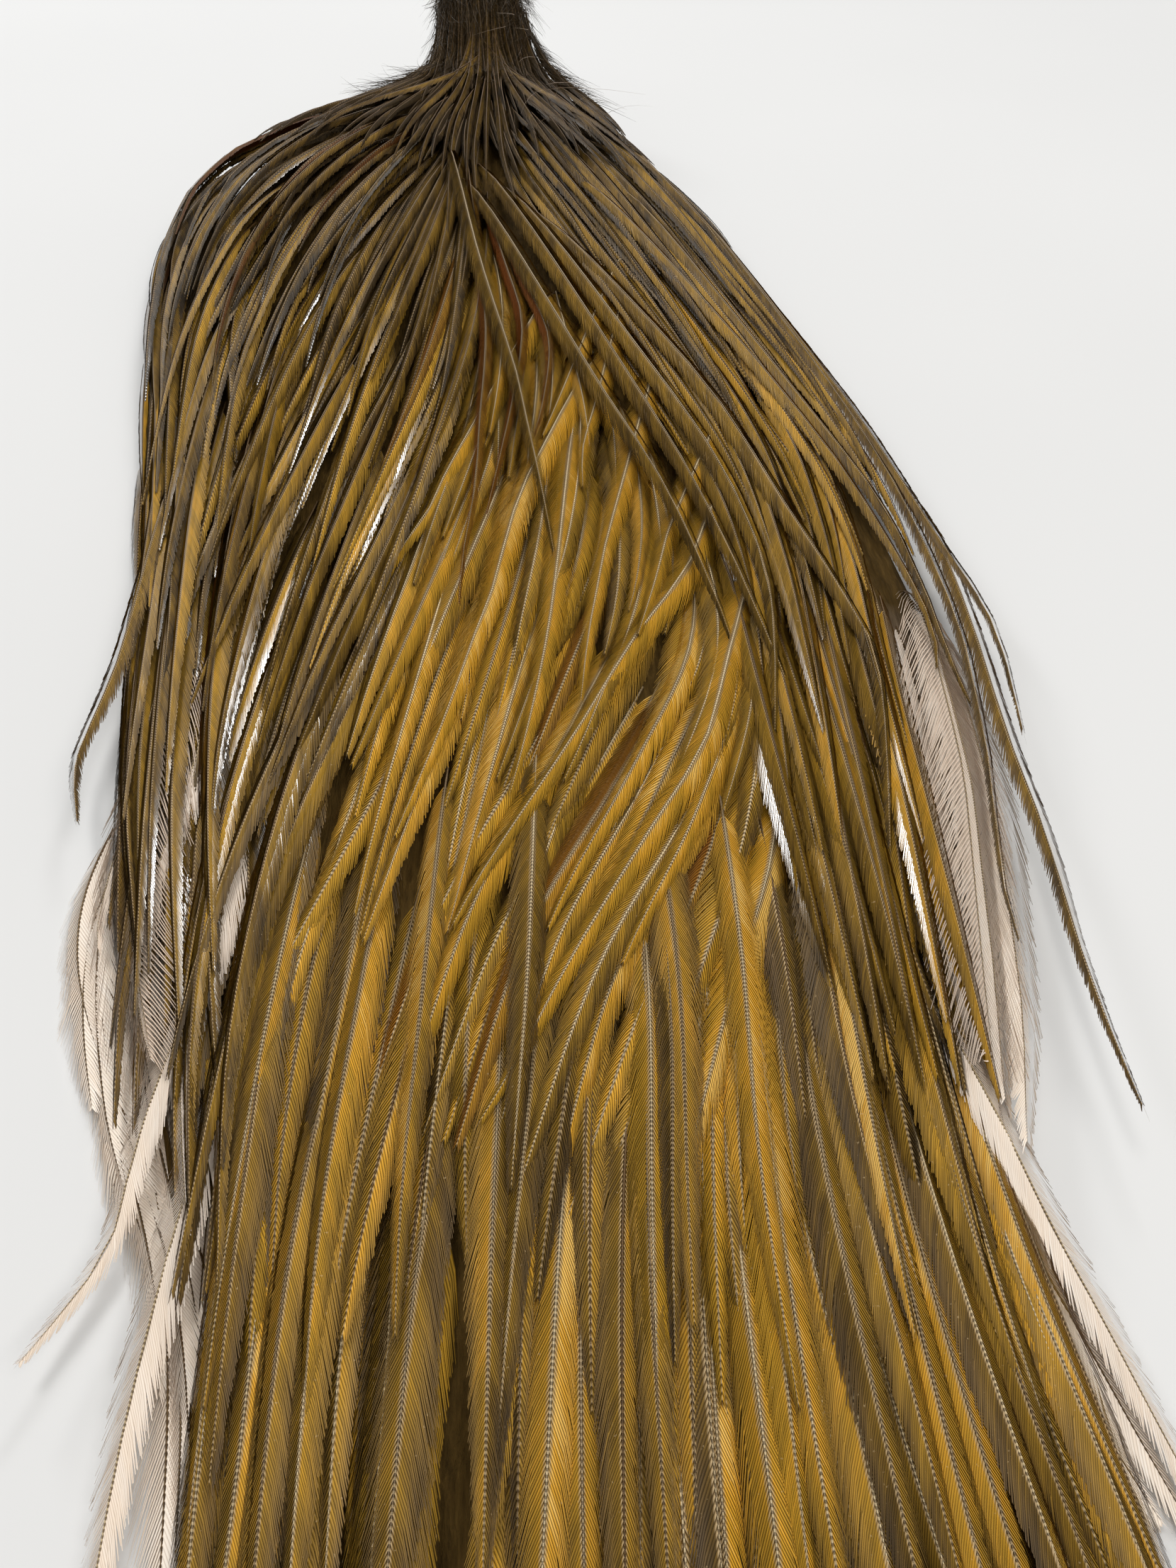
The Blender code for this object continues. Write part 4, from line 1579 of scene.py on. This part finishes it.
# Tracts of dyed hackles. After its strokes each has its number of feathers, the shares at which the
# first and the last grow, their crowding, and their lengths and half widths at the head and the butt
TRACTS = (
    Tract("butt_hackles", BUTT_STROKES, 140, 0.0, 0.55, 0.9, (66.0, 62.0), (2.4, 2.6), lift=-1.8, gap=0.46,
          tone=(0.33, 0.78), grey=(0.0, 0.66), curl=0.9, split=0.12, shine=(0.0, 0.64),
          quill=(0.0, 0.7), red_share=0.0, slant=2.6),
    Tract("centre_hackles", CENTRE_STROKES, 84, 0.0, 0.62, 1.0, (66.0, 80.0), (2.6, 3.1), lift=-2.0, gap=0.45,
          tone=(0.50, 0.93), grey=(0.0, 0.25), quill=(0.4, 1.0), curl=0.8, spread=2.6, segments=3, taper=0.4,
          slant=2.3, raised=1.0, shine=(0.0, 0.7)),
    Tract("left_upper_hackles", LEFT_STROKES, 122, 0.0, 0.34, 1.2, (90.0, 98.0), (1.6, 2.3), gap=0.76,
          tone=(0.34, 0.66), spread=2.4, lift=-1.5, red_share=0.03, grey=(0.0, 0.05), bare=0.06,
          root_depth=3.5, shine=(0.0, 0.95), glossy=Side.RIGHT, wet_roll=16.0),
    Tract("left_lower_hackles", LEFT_STROKES, 102, 0.30, 0.74, 1.0, (86.0, 92.0), (2.0, 2.4), gap=0.46,
          tone=(0.27, 0.55), shine=(0.3, 1.2), glossy=Side.RIGHT, wet_roll=16.0, spread=2.6, lift=-1.5,
          red_share=0.03),
    Tract("right_upper_hackles", RIGHT_STROKES, 104, 0.0, 0.34, 1.2, (90.0, 100.0), (1.6, 2.3), gap=0.76,
          tone=(0.47, 0.75), spread=2.2, lift=-1.5, red_share=0.02, grey=(0.0, 0.1), bare=0.06,
          root_depth=3.5),
    Tract("right_lower_hackles", RIGHT_LOWER_STROKES, 84, 0.30, 0.74, 1.0, (84.0, 82.0), (2.1, 2.5), gap=0.47,
          tone=(0.36, 0.76), shine=(0.1, 1.0), spread=2.6, lift=-1.5, red_share=0.02),
    Tract("left_skirt", LEFT_EDGE_STROKES, 46, 0.0, 0.60, 1.0, (50.0, 58.0), (1.8, 2.2), gap=0.6, lift=-4.0,
          tone=(0.24, 0.55), spread=2.0, rise=1.0, root_depth=1.0, raised=0.0),
    Tract("right_skirt", RIGHT_EDGE_STROKES, 38, 0.0, 0.40, 1.0, (50.0, 58.0), (1.8, 2.2), gap=0.6, lift=-4.0,
          tone=(0.24, 0.55), spread=2.0, rise=1.0, root_depth=1.0, raised=0.0),
    Tract("crown_tuft", CROWN_STROKES, 190, 0.0, 0.50, 1.0, (32.0, 52.0), (0.9, 1.5), lift=-0.4, gap=0.6,
          slot=Slot.CROWN, tone=(0.24, 0.44), grey=(0.0, 0.15), red_share=0.0, root_depth=1.5, rise=1.0,
          settle=0.8, shine=(0.0, 0.2), loose=0.4, slant=3.2, spread=4.0, raised=0.4, quill=(0.0, 0.05),
          bare=0.06),
)
FRINGE = {"first": 0.0, "last": 0.66, "crowding": 1.0, "length": (34.0, 36.0), "half_width": (2.6, 3.2),
          "slot": Slot.FLUFF, "lift": -4.6, "gap": 0.48, "tone": (0.0, 0.22), "shine": (0.0, 0.2),
          "slant": 2.6, "loose": 0.5, "curl": 0.4,
          "fringe": 0.24, "rise": 1.0, "root_depth": 1.0, "raised": 0.6, "bare": 0.04, "spread": 4.0}
FRINGES = (
    Tract("left_fringe", LEFT_FRINGE_STROKES, 22, **FRINGE),
    Tract("right_fringe", RIGHT_FRINGE_STROKES, 30, **FRINGE),
)
# Hackles that stand out on their own, each by the points that it passes through
PARTING = {"half_width": 1.2, "tone": 0.22, "grey": 0.4, "lift": 0.6, "loose": 0.4, "gap": 0.5,
           "quill": 0.0}
PARTING_HACKLES = Strands("parting_hackles", tuple(Strand(points, **PARTING) for points in (
    ((-4, 176), (-7, 148), (-10, 128), (-12, 99)),
    ((-2, 178), (-4, 150), (-6, 124), (-7, 92)),
    ((0, 178), (-1, 152), (-2, 128), (-3, 98)),
    ((2, 176), (2, 146), (3, 118), (7, 93)),
    ((-6, 174), (-12, 152), (-18, 132), (-22, 108)),
    ((-5, 172), (-9, 150), (-14, 126), (-17, 100)),
    ((3, 174), (6, 150), (10, 126), (15, 102)),
    ((4, 172), (9, 152), (16, 132), (23, 110)),
    ((-1, 166), (-3, 140), (-5, 112), (-5, 80)),
    ((1, 164), (1, 138), (1, 110), (3, 78)),
    ((-3, 160), (-8, 134), (-10, 106), (-11, 72)),
    ((5, 170), (13, 156), (24, 140), (33, 120)),
    ((-7, 170), (-17, 158), (-30, 146), (-42, 128)),
)))
GOLD = {"half_width": 3.2, "quill": 0.85, "curl": 0.8, "lift": -0.4, "split": 0.05, "taper": 0.3,
        "slant": 2.2}
CROSSING_HACKLES = Strands("crossing_hackles", (
    Strand(((14, 47), (9, 30), (6, 20), (2, 7)), tone=0.74, **GOLD),
    Strand(((14, 30), (11, 17), (8, 5), (7, -6)), tone=0.78, **GOLD),
    Strand(((18, 15), (15, 4), (12, -7), (9, -18), (7, -27), (5, -36), (3, -48)), tone=0.76, **GOLD),
    Strand(((-3, 27), (-8, 12), (-12, 1), (-15, -9), (-19, -17), (-22, -27)), tone=0.66, **GOLD),
    Strand(((3, 8), (-1, -3), (-3, -10), (-5, -19), (-7, -28), (-9, -34), (-13, -48), (-19, -66)),
           tone=0.84, **GOLD),
    Strand(((3, -16), (2, -23), (0, -35), (-3, -49), (-6, -61)), tone=0.72, **GOLD),
    Strand(((22, -5), (18, -15), (15, -25), (11, -37)), tone=0.70, **GOLD),
    Strand(((23, -14), (19, -24), (11, -36), (2, -52), (-9, -70), (-13, -78)), tone=0.66, **GOLD),
    Strand(((22, -40), (17, -54), (8, -68), (-1, -82), (-6, -91), (-11, -99)), tone=0.74, **GOLD),
    Strand(((-6, 88), (-5, 41), (-7, 10), (-8, -5), (-10, -19), (-11, -31)), half_width=1.6, tone=0.34,
           red=0.85, quill=0.1),
    Strand(((-1, 63), (1, 42), (-1, 22), (-4, 4), (-7, -12)), half_width=1.5, tone=0.34, red=1.0, quill=0.1,
           lift=0.4),
    Strand(((2, 57), (5, 36), (3, 17), (0, 4)), half_width=1.4, tone=0.3, red=0.95, grey=0.1, quill=0.1,
           lift=0.4),
    Strand(((-8, 92), (-6, 67), (-4, 48), (-1, 23), (0, 8), (1, -6), (2, -22)), tone=0.34, lift=2.4,
           quill=0.5),
    Strand(((-1, 73), (6, 42), (12, 16), (18, -8), (23, -39)), tone=0.32, lift=2.4, quill=0.4),
    Strand(((2, 84), (10, 50), (17, 20), (23, -8), (29, -50)), tone=0.34, lift=1.8, quill=0.3),
    Strand(((8, 72), (18, 35), (26, 5), (29, -15), (29, -32), (25, -55)), tone=0.40, lift=1.6, quill=0.4),
    Strand(((15, 62), (29, 21), (35, -8), (39, -26), (41, -41), (35, -71)), tone=0.38, lift=1.4),
    Strand(((24, 84), (39, 37), (47, 7), (51, -17), (52, -31), (50, -40)), tone=0.50, half_width=2.0),
    Strand(((31, 83), (44, 31), (52, -2), (53, -21), (53, -36), (54, -45)), tone=0.36, half_width=2.0),
), root_run=40.0)
STRAY = {"half_width": 1.9, "lift": 0.6, "curl": 0.6, "grey": 0.4, "tip_height": 7.0, "gap": 0.42,
         "loose": 0.25, "fringe": 0.22}
STRAY_HACKLES = Strands("stray_hackles", (
    Strand(((30, 140), (43, 96), (53, 44), (57, 8), (57, -25), (55, -41), (52, -57), (49, -69), (48, -82)),
           tone=0.26, **STRAY),
    Strand(((36, 124), (47, 80), (56, 30), (60, -7), (62, -27), (59, -50)), tone=0.34, **STRAY),
    Strand(((58, 13), (60, -7), (59, -28), (57, -48), (56, -65), (54, -80), (53, -92), (53, -101)), tone=0.28,
           **STRAY),
    Strand(((-56, 0), (-57, -23), (-58, -33), (-59, -43), (-57, -53)), tone=0.28, **STRAY),
))
PLUME = {"half_width": 4.6, "curl": 0.35, "gap": 0.42, "fringe": 0.2, "loose": 0.5, "slant": 2.3,
         "taper": 0.4, "tone": 0.02, "quill": 0.5, "lift": -1.4}
THIN_PLUME = {**PLUME, "half_width": 2.8, "lift": -0.8, "tone": 0.22}
LINED_PLUME = {**PLUME, "half_width": 6.5, "curl": 0.25, "gap": 0.8, "blade": 0.18, "fringe": 0.16,
               "loose": 1.0, "tone": 0.6, "quill": 0.3, "lift": -0.4, "taper": 0.7}
PALE_PLUMES = Strands("pale_plumes", (
    Strand(((52, -40), (50, -56), (47, -70), (44, -84), (40, -98)), tip_height=6.4, **PLUME),
    Strand(((54, -44), (52, -60), (49, -75), (46, -88), (41, -102)), tip_height=5.6, **PLUME),
    Strand(((51, -38), (49, -54), (46, -68), (43, -81), (40, -94)), tip_height=7.4, **LINED_PLUME),
    Strand(((-50, -40), (-52, -54), (-53, -64), (-52, -70)), tip_height=3.6, **THIN_PLUME),
    Strand(((-45, -56), (-47, -68), (-46, -78), (-43, -86)), tip_height=3.6, **THIN_PLUME),
    Strand(((-38, -70), (-40, -84), (-39, -94), (-37, -104)), tip_height=3.6, **THIN_PLUME),
    Strand(((-48, -44), (-49, -58), (-47, -72), (-43, -86)), tip_height=5.0, **LINED_PLUME),
    Strand(((-40, -80), (-44, -94), (-45, -102), (-48, -108), (-51, -113)), tip_height=4.6, **THIN_PLUME),
    Strand(((-38, -100), (-41, -114), (-42, -128), (-42, -144)), tip_height=3.2, **THIN_PLUME),
    Strand(((40, -102), (43, -114), (45, -125), (47, -137)), tip_height=3.2, **THIN_PLUME),
), slot=Slot.FLUFF)


def place_piece(piece: bpy.types.Object, slot: Slot) -> None:
    """Tie a piece to the frame and report it.

    Args:
        piece: The piece.
        slot: Not used.
    """
    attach(piece, BODY)
    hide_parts(NODE)
    triangles = sum(len(face.vertices) - 2 for face in piece.data.polygons)
    log.info("%s: %d triangles", piece.name, triangles)


def main() -> None:
    """Build the cape and its stage."""
    logging.basicConfig(level=logging.INFO, format="%(message)s")
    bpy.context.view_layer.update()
    relief = Relief()
    Studio().build()
    place_piece(Hide().build(), Slot.HIDE)
    place_piece(DownMat(relief).build(), Slot.HACKLE)
    glossy = VaneFinish(name="glossy_barbs", roughness=0.21, specular=0.85)
    barbs, quill, pale = VaneFinish().material(), QuillFinish().material(), PaleFinish().material()
    dyed = Plumage(relief, [barbs, quill, glossy.material()])
    for group in (*TRACTS, PARTING_HACKLES, CROSSING_HACKLES, STRAY_HACKLES):
        place_piece(dyed.build(group), group.slot)
    undyed = Plumage(relief, [pale, quill])
    for group in (PALE_PLUMES, *FRINGES):
        place_piece(undyed.build(group), group.slot)
    place_piece(Hairs("crown_hairs", relief, barbs, FUZZ_STROKES, count=2600).build(), Slot.CROWN)
    place_piece(NeckHairs("neck_hairs", relief, barbs, (), count=2400, length=(4.0, 8.0), width=0.34).build(),
                Slot.CROWN)
    place_piece(Hairs("crown_wisps", relief, pale, CROWN_STROKES[4:], count=16, length=(9.0, 15.0), width=0.1,
                      stand=(0.5, 1.2), sway=0.6, tone=(0.3, 0.8)).build(), Slot.FLUFF)


if __name__ == "__main__":
    main()
